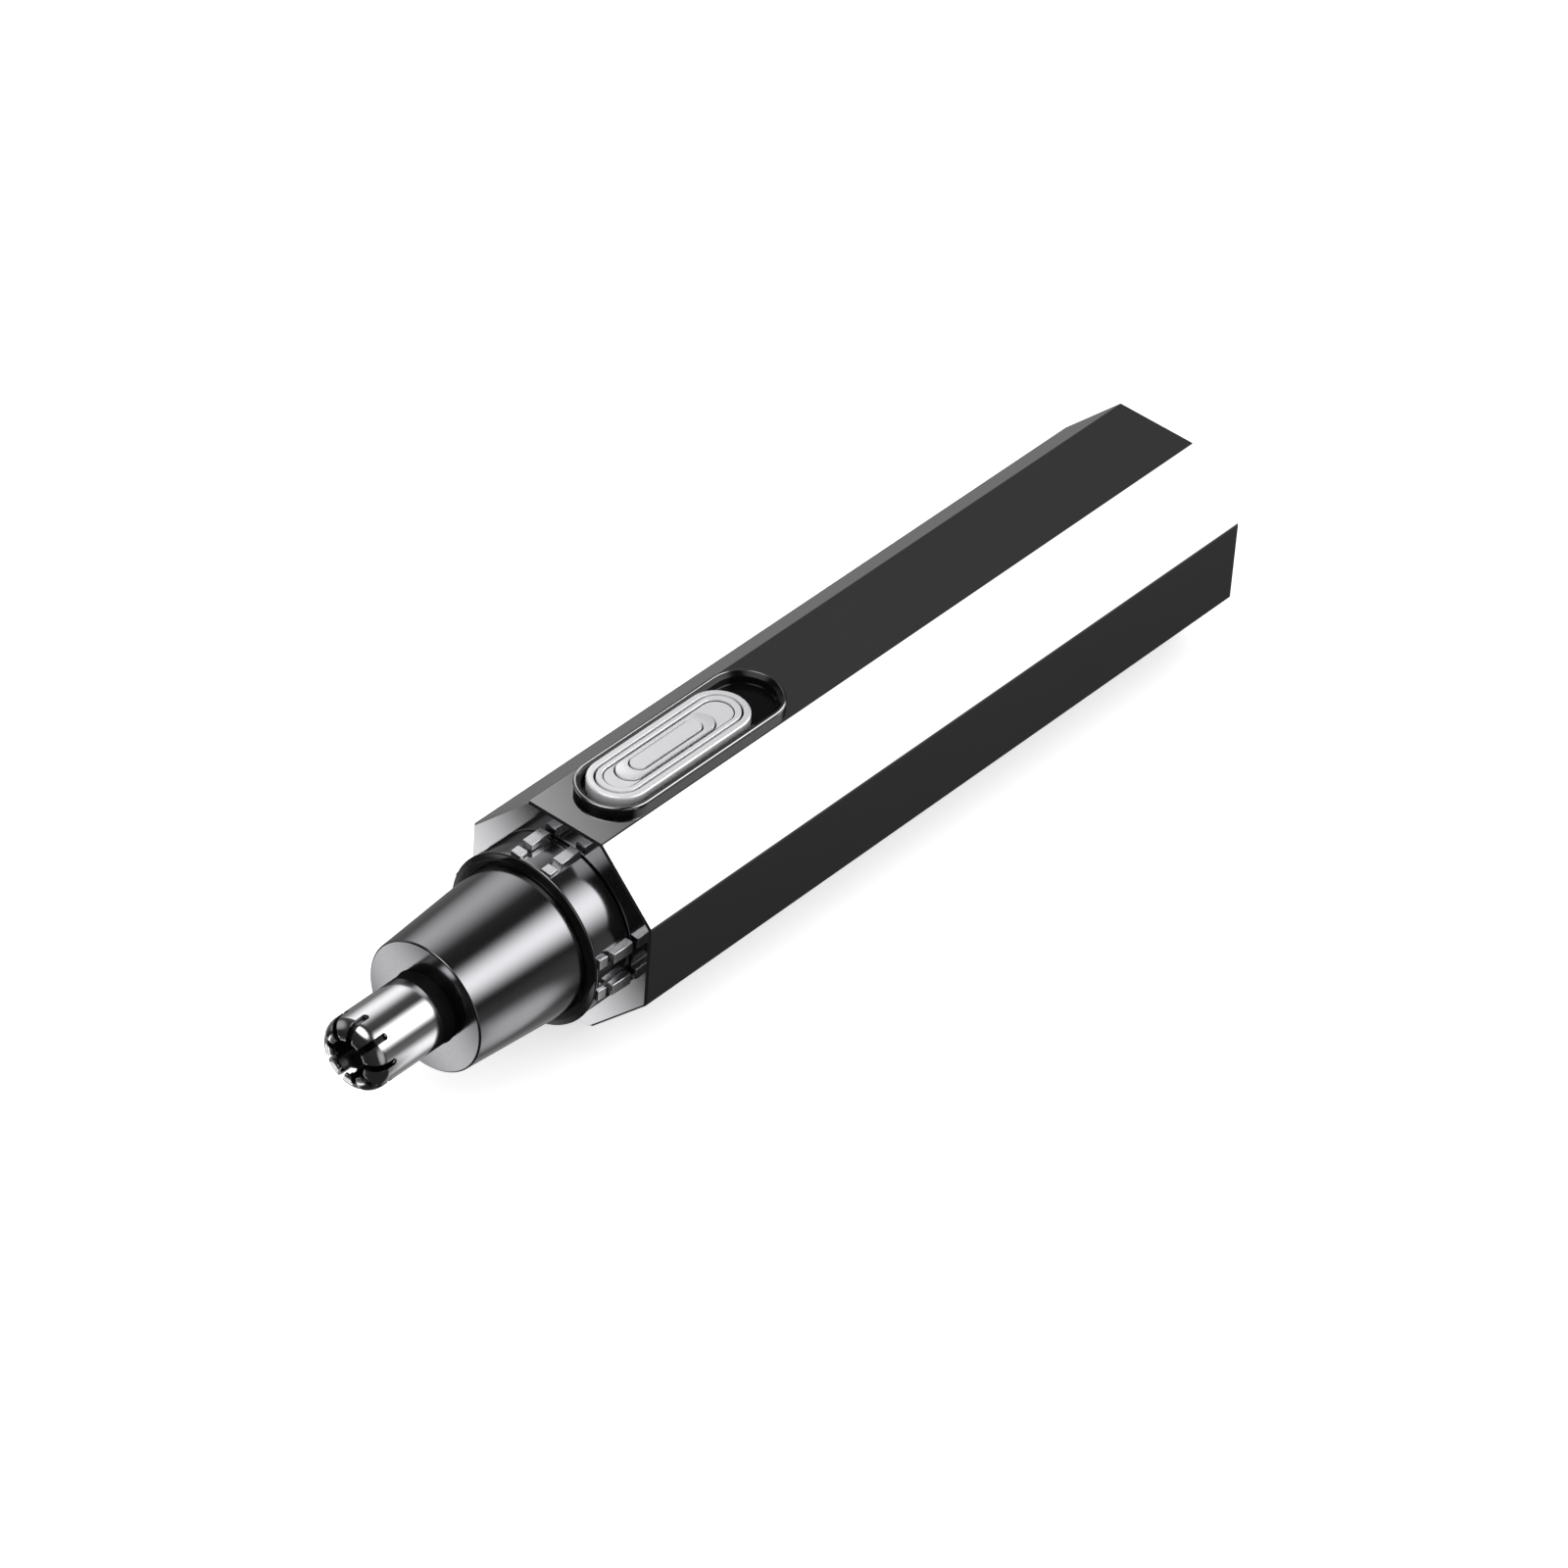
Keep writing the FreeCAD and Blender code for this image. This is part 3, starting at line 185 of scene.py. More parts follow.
def make_finishes():
    """One material for each finish of the trimmer, kept by the record's slot name, or by a
    name of its own for a variant. Each has two tones, a range of roughness and a grain."""
    scene = bpy.context.scene
    body, head = scene.trimmer_body, scene.trimmer_head
    tint, cone = tuple(body.tint), tuple(head.tint)
    along_y, around_y = (1, 0.03, 1), (0.05, 1, 0.05)
    table = {
        "dark_metal": finish("black_chrome", tint, darker(tint, 0.94), near(body.gloss), 2500,
                             1.0, along_y, 0.05),
        "satin_metal": finish("satin_black_chrome", cone, darker(cone, 0.93), near(head.gloss),
                              4000, 1.0, relief=0.03),
        # Grip ribs: much brighter than the collar's chrome, partly polished metal and partly a
        # painted highlight.
        "rib_polish_and_highlight": finish("worn_chrome", grey(0.80), grey(0.76), (0.26, 0.30), 5000, 1.0,
                            relief=0.01),
        "blade_metal": finish("hardened_steel", grey(0.10), grey(0.08), (0.25, 0.35), 5000, 1.0,
                              relief=0.1),
        "bright_metal": finish("satin_silver", grey(0.96), grey(0.93), (0.30, 0.36), 3500, 0.5,
                               along_y, 0.1),
        "gloss_black": finish("piano_black", grey(0.003), grey(0.005), (0.09, 0.13), 5000,
                              relief=0.03, extras={"Specular IOR Level": 0.3}),
        "black_mirror": finish("black_mirror", grey(0.42), grey(0.40), (0.12, 0.16), 4000, 1.0,
                               relief=0.03),
        "dull_black": finish("dull_black", grey(0.003), grey(0.005), (0.45, 0.55), 5000,
                             relief=0.1, extras={"Specular IOR Level": 0.15}),
        "chrome": finish("mirror_chrome", grey(0.80), grey(0.76), (0.12, 0.16), 6000, 1.0,
                         around_y, 0.05),
        "black_plastic": finish("matt_black", grey(0.020), grey(0.028), (0.42, 0.58), 9000,
                                relief=0.5),
        "grey_plastic": finish("matt_grey", grey(0.30), grey(0.34), (0.45, 0.6), 9000, relief=0.5),
        "white_plastic": finish("acetal", (0.80, 0.80, 0.77), (0.84, 0.84, 0.82), (0.35, 0.5),
                                7000, relief=0.3),
        "steel": finish("drawn_steel", grey(0.56), grey(0.50), (0.22, 0.36), 5000, 1.0, along_y,
                        0.05),
        "iron": finish("sintered_iron", grey(0.16), grey(0.22), (0.45, 0.65), 6000, 0.6,
                       relief=0.6),
        "nickel": finish("nickel_plate", (0.70, 0.68, 0.63), (0.66, 0.64, 0.60), (0.2, 0.32),
                         4000, 1.0, relief=0.04),
        "brass": finish("bare_brass", (0.80, 0.60, 0.26), (0.72, 0.52, 0.22), (0.25, 0.4), 5000,
                        1.0, relief=0.2),
        "board": finish("green_lacquer", (0.015, 0.15, 0.06), (0.02, 0.19, 0.08), (0.25, 0.4),
                        3000, relief=0.3),
        "chip_black": finish("chip_resin", grey(0.03), grey(0.045), (0.5, 0.65), 12000,
                             relief=0.5),
        "cell_wrap": finish("shrink_wrap", (0.04, 0.13, 0.36), (0.05, 0.16, 0.42), (0.2, 0.3),
                            1500, relief=0.4),
        "lead_red": finish("red_lead", (0.55, 0.03, 0.02), (0.48, 0.02, 0.02), (0.35, 0.5), 5000,
                           relief=0.3),
        "led_white": finish("lamp_white", (0.9, 0.88, 0.7), (0.85, 0.84, 0.68), (0.3, 0.4), 4000,
                            relief=0.1),
        "lens": finish("light_pipe", (0.9, 0.93, 0.95), (0.86, 0.9, 0.93), (0.12, 0.2), 3000,
                       relief=0.1, extras={"Transmission Weight": 0.6, "IOR": 1.49}),
    }
    FINISHES.update(table)


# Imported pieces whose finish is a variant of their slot's.
LOOKS = {"inner_blade": "blade_metal"}


def dress_nodes():
    """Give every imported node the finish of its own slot."""
    slots = {part["node"]: part["material_slot"] for part in frame["record"]["subparts"]}
    for name, node in frame["nodes"].items():
        node.data.materials.clear()
        node.data.materials.append(FINISHES[LOOKS.get(name, slots[name])])


# ------------------------------------------------------------------ mesh helpers

def rounded(corners, steps=5):
    """Outline with its corners turned into arcs; corners are (across, along, radius) in mm."""
    points = []
    count = len(corners)
    for i, (across, along, radius) in enumerate(corners):
        here = Vector((across, along))
        back = Vector(corners[i - 1][:2]) - here
        on = Vector(corners[(i + 1) % count][:2]) - here
        if radius <= 0:
            points.append(here)
            continue
        half = back.angle(on) / 2
        reach = radius / math.tan(half)
        inwards = (back.normalized() + on.normalized()).normalized()
        middle = here + inwards * radius / math.sin(half)
        start, end = here + back.normalized() * reach, here + on.normalized() * reach
        first, last = start - middle, end - middle
        sweep = first.angle_signed(last)
        for k in range(steps + 1):
            turned = first.copy()
            turned.rotate(Matrix.Rotation(-sweep * k / steps, 2))
            points.append(middle + turned)
    return points


def lathe(outline, extra_turns=(), reshape=None, steps=144):
    """Closed outline of (radius, y) in mm, turned about the trimmer's axis."""
    bm = bmesh.new()
    turns = sorted({TAU * k / steps for k in range(steps)} | set(extra_turns))
    rings = []
    for radius, y in outline:
        ring = []
        for turn in turns:
            r = reshape(radius, y, turn) if reshape else radius
            ring.append(bm.verts.new((r * math.sin(turn) * MM, y * MM, r * math.cos(turn) * MM)))
        rings.append(ring)
    join_rings(bm, rings + rings[:1])
    return mesh_of(bm, "turned")


def stadium_ring(bm, low, high, radius, level, within=None, arc=20):
    """Ring of a long slot shape in mm, level above the switch facet. within = (half width,
    start, end) presses it onto a rectangle."""
    ring = []
    for centre, start in ((high - radius, 0.0), (low + radius, math.pi)):
        for k in range(arc + 1):
            turn = start + math.pi * k / arc
            x, y = radius * math.cos(turn), centre + radius * math.sin(turn)
            if within:
                half, first, last = within
                x, y = min(max(x, -half), half), min(max(y, first), last)
            ring.append(bm.verts.new((x * MM, y * MM, level * MM + FLAT)))
    return ring


def join_rings(bm, rings):
    """Wall of faces from each ring to the next, with doubles merged."""
    for here, there in zip(rings, rings[1:]):
        for k in range(len(here)):
            bm.faces.new((here[k], here[k - 1], there[k - 1], there[k]))
    bmesh.ops.remove_doubles(bm, verts=bm.verts, dist=1e-7)
    bmesh.ops.dissolve_degenerate(bm, edges=bm.edges, dist=1e-8)


def quarter(low, high, radius, level, soft, steps=5):
    """Slot rings that round an outer top edge over by soft mm."""
    rings = []
    for k in range(steps + 1):
        turn = math.pi / 2 * k / steps
        inset = soft * (1 - math.cos(turn))
        rings.append((low + inset, high - inset, radius - inset,
                      level - soft * (1 - math.sin(turn))))
    return rings


def prism(outline, low, high):
    """Straight bar along X between low and high, from an outline of (z, y) in mm."""
    bm = bmesh.new()
    ends = [[bm.verts.new((x * MM, y * MM, z * MM)) for z, y in outline] for x in (low, high)]
    for end in ends:
        bm.faces.new(end)
    join_rings(bm, ends)
    return mesh_of(bm, "bar")


def mesh_of(bm, name):
    bmesh.ops.recalc_face_normals(bm, faces=bm.faces)
    mesh = bpy.data.meshes.new(name)
    bm.to_mesh(mesh)
    bm.free()
    return mesh


def joined(*meshes):
    """One mesh out of several closed ones."""
    bm = bmesh.new()
    for mesh in meshes:
        bm.from_mesh(mesh)
    mesh = bpy.data.meshes.new("joined")
    bm.to_mesh(mesh)
    bm.free()
    return mesh


def draft(mesh):
    """Working object for a mesh that a recipe or modifier will read."""
    thing = bpy.data.objects.new("draft", mesh)
    bpy.context.scene.collection.objects.link(thing)
    return thing


def baked(thing):
    """Plain mesh of an object with its modifiers applied; the object goes."""
    bpy.context.view_layer.update()
    graph = bpy.context.evaluated_depsgraph_get()
    mesh = bpy.data.meshes.new_from_object(thing.evaluated_get(graph))
    bpy.data.objects.remove(thing)
    return mesh


def soft_edged(mesh, width, segments=3, corner=40):
    """Round every edge sharper than corner degrees by width metres."""
    thing = draft(mesh)
    bevel = thing.modifiers.new("soft_edge", "BEVEL")
    bevel.width, bevel.segments = width, segments
    bevel.limit_method, bevel.angle_limit = "ANGLE", math.radians(corner)
    return baked(thing)


def show(name, mesh, body, slot, stands_for=(), corner=32, look=None):
    """Put a finished mesh on its body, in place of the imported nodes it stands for. Edges
    sharper than corner degrees stay sharp, and look names a variant of the slot's finish."""
    if not len(mesh.polygons):
        raise RuntimeError("%s came out empty" % name)
    mesh.transform(PLACE)
    mesh.name = name
    mesh.materials.clear()
    mesh.materials.append(FINISHES[look or slot])
    for face in mesh.polygons:
        face.material_index = 0
    piece = bpy.data.objects.new(name, mesh)
    bpy.context.scene.collection.objects.link(piece)
    mesh.shade_smooth()
    mesh.set_sharp_from_angle(angle=math.radians(corner))
    even = piece.modifiers.new("even_normals", "WEIGHTED_NORMAL")
    even.keep_sharp = True
    even.weight = 100
    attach(piece, body)
    for node in stands_for:
        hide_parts(node)
    return piece


# ------------------------------------------------------------------ geometry recipes

class Recipe(Nodes):
    """Geometry nodes tree with named inputs, ending in real meshes of one material."""

    def __init__(self, name, **kinds):
        tree = bpy.data.node_groups.new(name, "GeometryNodeTree")
        super().__init__(tree)
        tree.interface.new_socket("Geometry", in_out="OUTPUT",
                                  socket_type="NodeSocketGeometry")
        for label, kind in {**kinds, "Material": "Material"}.items():
            tree.interface.new_socket(label, in_out="INPUT", socket_type="NodeSocket" + kind)
        self.given = self.add("NodeGroupInput").outputs

    def maths(self, operation, one, two):
        return self.out("ShaderNodeMath", {0: one, 1: two}, operation=operation)

    def shape_of(self, label):
        return self.out("GeometryNodeObjectInfo", {"Object": self.given[label]},
                        output="Geometry")

    def around(self, shape, count):
        """Copies of a shape evenly about the trimmer's axis."""
        points = self.out("GeometryNodeMeshLine", {"Count": count, "Offset": (0, 0, 0)})
        index = self.out("GeometryNodeInputIndex")
        turn = self.maths("DIVIDE", self.maths("MULTIPLY", index, TAU), count)
        spin = self.out("ShaderNodeCombineXYZ", {"Y": turn})
        return self.out("GeometryNodeInstanceOnPoints",
                        {"Points": points, "Instance": shape, "Rotation": spin})

    def finish(self, geometry):
        real = self.out("GeometryNodeRealizeInstances", {"Geometry": geometry})
        dressed = self.out("GeometryNodeSetMaterial",
                           {"Geometry": real, "Material": self.given["Material"]})
        self.add("NodeGroupOutput", {"Geometry": dressed})

    def grow(self, **values):
        """Plain mesh that the tree gives for these inputs; underscores stand for spaces."""
        holder = draft(bpy.data.meshes.new("holder"))
        live = holder.modifiers.new("recipe", "NODES")
        live.node_group = self.tree
        for item in self.tree.interface.items_tree:
            key = item.name.replace(" ", "_")
            if item.in_out == "INPUT" and key in values:
                live[item.identifier] = values[key]
        return baked(holder)


FACETS, EDGE_STEPS, BORE_SIDES = 8, 6, 160
HALF_FACET = TAU / (2 * FACETS)


def octagonal_tube():
    """Recipe: an octagon with soft edges drawn into a tube, chamfered at both ends, bored
    from behind, with a nose hole in front and the switch opening in its top facet."""
    n = Recipe("octagonal_tube", Across="Float", Length="Float", Edge="Float", Chamfer="Float",
               Bore="Float", Wall="Float", Nose="Float", Opening="Object")
    half = n.maths("DIVIDE", n.given["Across"], 2.0)
    corner = n.maths("DIVIDE", half, math.cos(HALF_FACET))
    ring = n.out("GeometryNodeCurvePrimitiveCircle", {"Resolution": FACETS, "Radius": corner})
    upright = n.out("GeometryNodeTransform",
                    {"Geometry": ring, "Rotation": (0, 0, HALF_FACET)})
    outline = n.out("GeometryNodeFilletCurve",
                    {"Curve": upright, "Count": EDGE_STEPS, "Radius": n.given["Edge"]},
                    mode="POLY")
    line = n.out("GeometryNodeResampleCurve",
                 {"Curve": n.out("GeometryNodeCurvePrimitiveLine"), "Count": 4})
    index = n.out("GeometryNodeInputIndex")
    past = [n.maths("GREATER_THAN", index, k + 0.5) for k in range(3)]
    middle = n.maths("SUBTRACT", n.given["Length"],
                     n.maths("MULTIPLY", n.given["Chamfer"], 2.0))
    reach = n.maths("MULTIPLY", past[0], n.given["Chamfer"])
    for flag, step in ((past[1], middle), (past[2], n.given["Chamfer"])):
        reach = n.maths("ADD", reach, n.maths("MULTIPLY", flag, step))
    spine = n.out("GeometryNodeSetPosition",
                  {"Geometry": line, "Position": n.out("ShaderNodeCombineXYZ", {"Z": reach})})
    inner = n.maths("SUBTRACT", past[0], past[2])
    drawn_in = n.maths("DIVIDE", n.maths("SUBTRACT", half, n.given["Chamfer"]), half)
    width = n.maths("ADD", n.maths("MULTIPLY", inner, n.maths("SUBTRACT", 1.0, drawn_in)),
                    drawn_in)
    bar = n.out("GeometryNodeCurveToMesh", {"Curve": spine, "Profile Curve": outline,
                                            "Scale": width, "Fill Caps": True})
    bore = n.out("GeometryNodeMeshCylinder",
                 {"Vertices": BORE_SIDES, "Radius": n.given["Bore"],
                  "Depth": n.given["Length"]})
    sunk = n.maths("ADD", n.maths("DIVIDE", n.given["Length"], 2.0), n.given["Wall"])
    bore = n.out("GeometryNodeTransform", {
        "Geometry": bore, "Translation": n.out("ShaderNodeCombineXYZ", {"Z": sunk})})
    hole = n.out("GeometryNodeMeshCylinder",
                 {"Vertices": BORE_SIDES, "Radius": n.given["Nose"],
                  "Depth": n.maths("MULTIPLY", n.given["Wall"], 3.0)})
    turned = [n.out("GeometryNodeTransform", {"Geometry": g, "Rotation": (-TAU / 4, 0, 0)})
              for g in (bar, bore, hole)]
    cuts = n.add("GeometryNodeMeshBoolean", {"Mesh 1": turned[0]}, operation="DIFFERENCE",
                 solver="EXACT")
    for cutter in (turned[1], turned[2], n.shape_of("Opening")):
        n.tree.links.new(cutter, cuts.inputs["Mesh 2"])
    n.finish(cuts.outputs["Mesh"])
    return n


def repeated():
    """Recipe: copies of one shape about the axis."""
    n = Recipe("repeated_about_axis", Shape="Object", Count="Int")
    n.finish(n.around(n.shape_of("Shape"), n.given["Count"]))
    return n


def slotted():
    """Recipe: one shape with copies of a cutter taken out of it about the axis."""
    n = Recipe("slotted_about_axis", Shape="Object", Cutter="Object", Count="Int")
    cutters = n.out("GeometryNodeRealizeInstances",
                    {"Geometry": n.around(n.shape_of("Cutter"), n.given["Count"])})
    cut = n.add("GeometryNodeMeshBoolean",
                {"Mesh 1": n.shape_of("Shape"), "Self Intersection": True},
                operation="DIFFERENCE", solver="EXACT")
    n.tree.links.new(cutters, cut.inputs["Mesh 2"])
    n.finish(cut.outputs["Mesh"])
    return n


COIL_STEPS, WIRE_SIDES = 32, 12


def coil():
    """Recipe: a round wire wound along the trimmer's axis."""
    n = Recipe("coil", Turns="Float", Radius="Float", Height="Float", Wire="Float",
               Start="Float")
    path = n.out("GeometryNodeCurveSpiral", {
        "Resolution": COIL_STEPS, "Rotations": n.given["Turns"],
        "Start Radius": n.given["Radius"], "End Radius": n.given["Radius"],
        "Height": n.given["Height"]})
    wire = n.out("GeometryNodeCurvePrimitiveCircle",
                 {"Resolution": WIRE_SIDES, "Radius": n.given["Wire"]})
    wound = n.out("GeometryNodeCurveToMesh", {"Curve": path, "Profile Curve": wire,
                                              "Fill Caps": True})
    start = n.out("ShaderNodeCombineXYZ", {"Y": n.given["Start"]})
    laid = n.out("GeometryNodeTransform", {"Geometry": wound, "Rotation": (-TAU / 4, 0, 0),
                                           "Translation": start})
    n.finish(laid)
    return n


def about_axis(mesh, count):
    """Plain mesh of count copies about the axis."""
    shape = draft(mesh)
    copies = repeated().grow(Shape=shape, Count=count)
    bpy.data.objects.remove(shape)
    return copies


def slotted_about_axis(mesh, cutter, count):
    """Plain mesh with count copies of the cutter taken out of it."""
    shape, tool = draft(mesh), draft(cutter)
    cut = slotted().grow(Shape=shape, Cutter=tool, Count=count)
    for thing in (shape, tool):
        bpy.data.objects.remove(thing)
    return cut


# ------------------------------------------------------------------ switch

# Slot shapes on the switch, in mm: start and end behind the front face, end radius.
BEZEL = (3.8, 35.9, 4.98)
SLIDE = (5.5, 30.2, 3.87)
PAN = (7.45, 28.25, 2.17)
LOW_PAD = (9.5, 24.9, 1.72)
HIGH_PAD = (11.6, 23.0, 1.03)
BEZEL_TOP, LIP_FOOT, WELL_FLOOR, TUB_FOOT = 1.1, 0.7, -0.4, -1.05
SLIDE_TOP, PAN_FLOOR, LOW_TOP, HIGH_TOP = 1.45, 1.25, 1.50, 1.67
# The slider's stem and the slot that it runs in: half width, start and end.
STEM = (1.2, 14.0, 26.0)
STEM_SLOT = (1.5, 13.6, 30.4)
STEM_FOOT, SKIRT_FOOT = -2.3, -0.3
# Insets from the bezel's edge, and the small steps and breaks of its section.
TUB_INSET, WELL_INSET, TRIM_INSET, TRIM_FOOT = 0.78, 0.98, 0.45, 0.72
LIP_SINK, LIP_SLOPE, LIP_RISE, LIP_FALL, WELL_CHAMFER = 0.03, 0.06, 0.02, 0.04, 0.1
RIM_ROUND, TRIM_BREAK = 0.3, 0.05
# The slider's rim groove, the moat around each pad, and the pads' top edges.
GROOVE_SIDES = (0.80, 0.84, 0.88, 1.12, 1.16, 1.20)
GROOVE_FLOOR, GROOVE_BREAK = 1.00, 0.05
GROOVE_LEVELS = (SLIDE_TOP, SLIDE_TOP - GROOVE_BREAK, GROOVE_FLOOR, GROOVE_FLOOR,
                 SLIDE_TOP - GROOVE_BREAK, SLIDE_TOP)
MOAT_WIDTH, MOAT_FOOT, MOAT_DEPTH = 0.24, 0.18, 0.2
PAD_SIDE, PAD_BREAK = 0.06, 0.02
# Painted shade: matt black strips laid in the grooves where shadow falls: slot, insets of both
# sides, level.
SHADE_STRIPS = ((SLIDE, 0.87, 1.13, 1.02), (PAN, 0.03, 0.17, PAN_FLOOR),
         (LOW_PAD, -0.17, 0, PAN_FLOOR - 0.18), (HIGH_PAD, -0.17, 0, LOW_TOP - 0.18))
SHADE_BELOW, SHADE_ABOVE = 0.05, 0.03


def inset(slot, by, level):
    """Ring of a slot drawn in from its edge, at a level above the switch facet."""
    low, high, radius = slot
    return low + by, high - by, radius - by, level


def slot_solid(rings, holed=False):
    """Closed solid from slot rings: a ring of matter when holed, capped otherwise."""
    bm = bmesh.new()
    made = [stadium_ring(bm, *ring) if len(ring) == 4 else
            stadium_ring(bm, *ring[:4], within=ring[4]) for ring in rings]
    if holed:
        made.append(made[0])
    else:
        bm.faces.new(made[0])
        bm.faces.new(made[-1])
    join_rings(bm, made)
    return mesh_of(bm, "slot_solid")


def bezel_mesh():
    """Tub of the switch: outer wall, lip, sloping well and the floor with the stem's slot."""
    rings = [inset(BEZEL, TUB_INSET, TUB_FOOT), inset(BEZEL, TUB_INSET, 0), inset(BEZEL, 0, 0),
             inset(BEZEL, 0, TRIM_FOOT), inset(BEZEL, TRIM_INSET, TRIM_FOOT),
             inset(BEZEL, TRIM_INSET, BEZEL_TOP - LIP_SINK),
             inset(BEZEL, WELL_INSET - LIP_SLOPE, LIP_FOOT + LIP_RISE),
             inset(BEZEL, WELL_INSET, LIP_FOOT - LIP_FALL),
             inset(BEZEL, WELL_INSET, WELL_FLOOR + WELL_CHAMFER),
             inset(BEZEL, WELL_INSET + WELL_CHAMFER, WELL_FLOOR),
             (*inset(BEZEL, WELL_INSET, WELL_FLOOR), STEM_SLOT),
             (*inset(BEZEL, TUB_INSET, TUB_FOOT), STEM_SLOT)]
    return slot_solid(rings, holed=True)


def trim_mesh():
    """Polished rim that caps the bezel."""
    rings = [inset(BEZEL, 0, TRIM_FOOT)] + quarter(*BEZEL, BEZEL_TOP, RIM_ROUND)
    rings += [inset(BEZEL, TRIM_INSET - TRIM_BREAK, BEZEL_TOP),
              inset(BEZEL, TRIM_INSET, BEZEL_TOP - TRIM_BREAK),
              inset(BEZEL, TRIM_INSET, TRIM_FOOT)]
    return slot_solid(rings, holed=True)


def groove_shade_strips():
    """Painted shade: matt black strips laid in the slider's grooves and moats, standing in for the
    shadow there.
    """
    lines = []
    for slot, outer, inner, level in SHADE_STRIPS:
        foot, top = level - SHADE_BELOW, level + SHADE_ABOVE
        lines.append(slot_solid([inset(slot, outer, foot), inset(slot, outer, top),
                                 inset(slot, inner, top), inset(slot, inner, foot)], True))
    return joined(*lines)


def slider_mesh():
    """Button with a rim groove, a sunk pan and two stepped pads, and the stem below it."""
    bm = bmesh.new()
    rings = [inset(SLIDE, 0, SKIRT_FOOT)] + quarter(*SLIDE, SLIDE_TOP, RIM_ROUND)
    rings += [inset(SLIDE, by, level) for by, level in zip(GROOVE_SIDES, GROOVE_LEVELS)]
    rings += [inset(PAN, -GROOVE_BREAK, SLIDE_TOP), inset(PAN, 0, SLIDE_TOP - GROOVE_BREAK),
              inset(PAN, GROOVE_BREAK, PAN_FLOOR)]
    for pad, foot, top in ((LOW_PAD, PAN_FLOOR, LOW_TOP), (HIGH_PAD, LOW_TOP, HIGH_TOP)):
        rings += [inset(pad, -MOAT_WIDTH, foot), inset(pad, -MOAT_FOOT, foot - MOAT_DEPTH),
                  inset(pad, 0, foot - MOAT_DEPTH), inset(pad, 0, top - PAD_SIDE),
                  inset(pad, PAD_BREAK, top - PAD_BREAK), inset(pad, PAD_SIDE, top)]
    made = [stadium_ring(bm, *ring) for ring in rings]
    bm.faces.new(made[-1])
    low, high, radius = SLIDE
    foot = [stadium_ring(bm, low, high, radius, level, within=STEM)
            for level in (STEM_FOOT, SKIRT_FOOT)]
    bm.faces.new(foot[0])
    join_rings(bm, foot + made)
    return mesh_of(bm, "slider")


# ------------------------------------------------------------------ collar and head

RIB_COUNT, LUG_COUNT, KEYWAY_COUNT = 4, 3, 2

# Outlines of the turned pieces in mm: distance from the axis, place behind the handle's
# front face, and the rounding of the corner.
GRIP = 10.85
COLLAR = ((9.0, -5.76, 0.05), (GRIP, -5.76, 0.18), (GRIP, -5.22, 0), (GRIP, -5.18, 0),
          (GRIP, -0.52, 0), (GRIP, -0.48, 0), (GRIP, -0.1, 0.2), (9.9, -0.1, 0),
          (9.9, 1.5, 0), (10.6, 1.5, 0.1), (10.6, 2.2, 0.1), (9.0, 2.2, 0.05))
CONE = ((9.6, -6.13, 0.12), (8.4, -22.6, 0.22), (4.62, -22.6, 0.12), (4.62, -21.4, 0),
        (7.2, -21.4, 0), (8.4, -7.33, 0), (6.5, -7.33, 0), (6.5, 7.5, 0.2), (7.5, 7.5, 0.2),
        (7.5, -6.13, 0))
RING = ((7.5, -6.13, 0), (9.78, -6.13, 0.02), (9.9, -6.2, 0.03), (10.15, -6.2, 0.03),
        (10.25, -6.1, 0.02), (11.0, -6.1, 0.08), (11.0, -5.86, 0.05), (7.5, -5.86, 0))
NECK = ((4.2, -24.5, 0.05), (4.6, -24.5, 0.12), (4.6, -21.4, 0), (6.6, -21.4, 0),
        (6.6, -20.0, 0), (5.2, -20.0, 0), (5.2, -16.0, 0.1), (4.2, -16.0, 0.1))
TUBE = ((2.4, -35.2, 0.08), (4.62, -35.2, 1.72), (4.62, -24.5, 0.08), (4.2, -24.5, 0),
        (4.2, -16.0, 0), (3.8, -16.0, 0), (3.8, -24.9, 0), (4.2, -24.9, 0),
        (4.2, -34.78, 1.3), (2.4, -34.78, 0.05))

# Outlines of the lugs, rib blocks and keyway: distance from the axis and place.
COLLAR_LUG = ((7.8, -4.6), (9.4, -4.6), (9.4, -3.4), (7.8, -3.4))
CONE_LUG = ((7.1, -2.9), (8.7, -2.9), (8.7, -1.7), (7.1, -1.7))
LUG_HALF, LUG_STEPS = math.radians(17.5), 12
RIB_NUB = ((10.2, -5.55), (11.0, -5.55), (11.1, -4.2), (10.2, -4.2))
RIB_BLOCK = ((10.2, -3.6), (11.45, -3.6), (11.55, -0.62), (11.4, -0.35), (10.2, -0.35))
# Ribs stand in pairs: distance from the middle of the pair, and half a rib's width.
RIB_SIDE, RIB_HALF = 2.3, 0.75
KEYWAY = ((5.0, 1.8), (9.0, 1.8), (9.0, 11.8), (5.0, 11.8))
KEYWAY_HALF = 0.85

# Recesses in the collar's grip, from rib to rib of a pair. Only what lies farther out than
# the wall radius sinks, and each side wall takes the slope's radians.
RECESS_HALF = 1.55
RECESS_TURN = math.asin(RECESS_HALF / GRIP)
RECESS_START, RECESS_END, RECESS_DEPTH, RECESS_WALL = -5.2, -0.5, 0.25, 10.4
RECESS_SLOPE = 0.004

# Slots of the cutter tube: inner end and the keyhole's radius there, then the cutter's reach.
SLOT_END, KEYHOLE, KEYHOLE_STEPS = -32.6, 0.45, 10
SLOT_MOUTH, SLOT_FLOOR, SLOT_ROOF = -36.2, 1.6, 6.0
SLOT_BREAK = 0.05 * MM


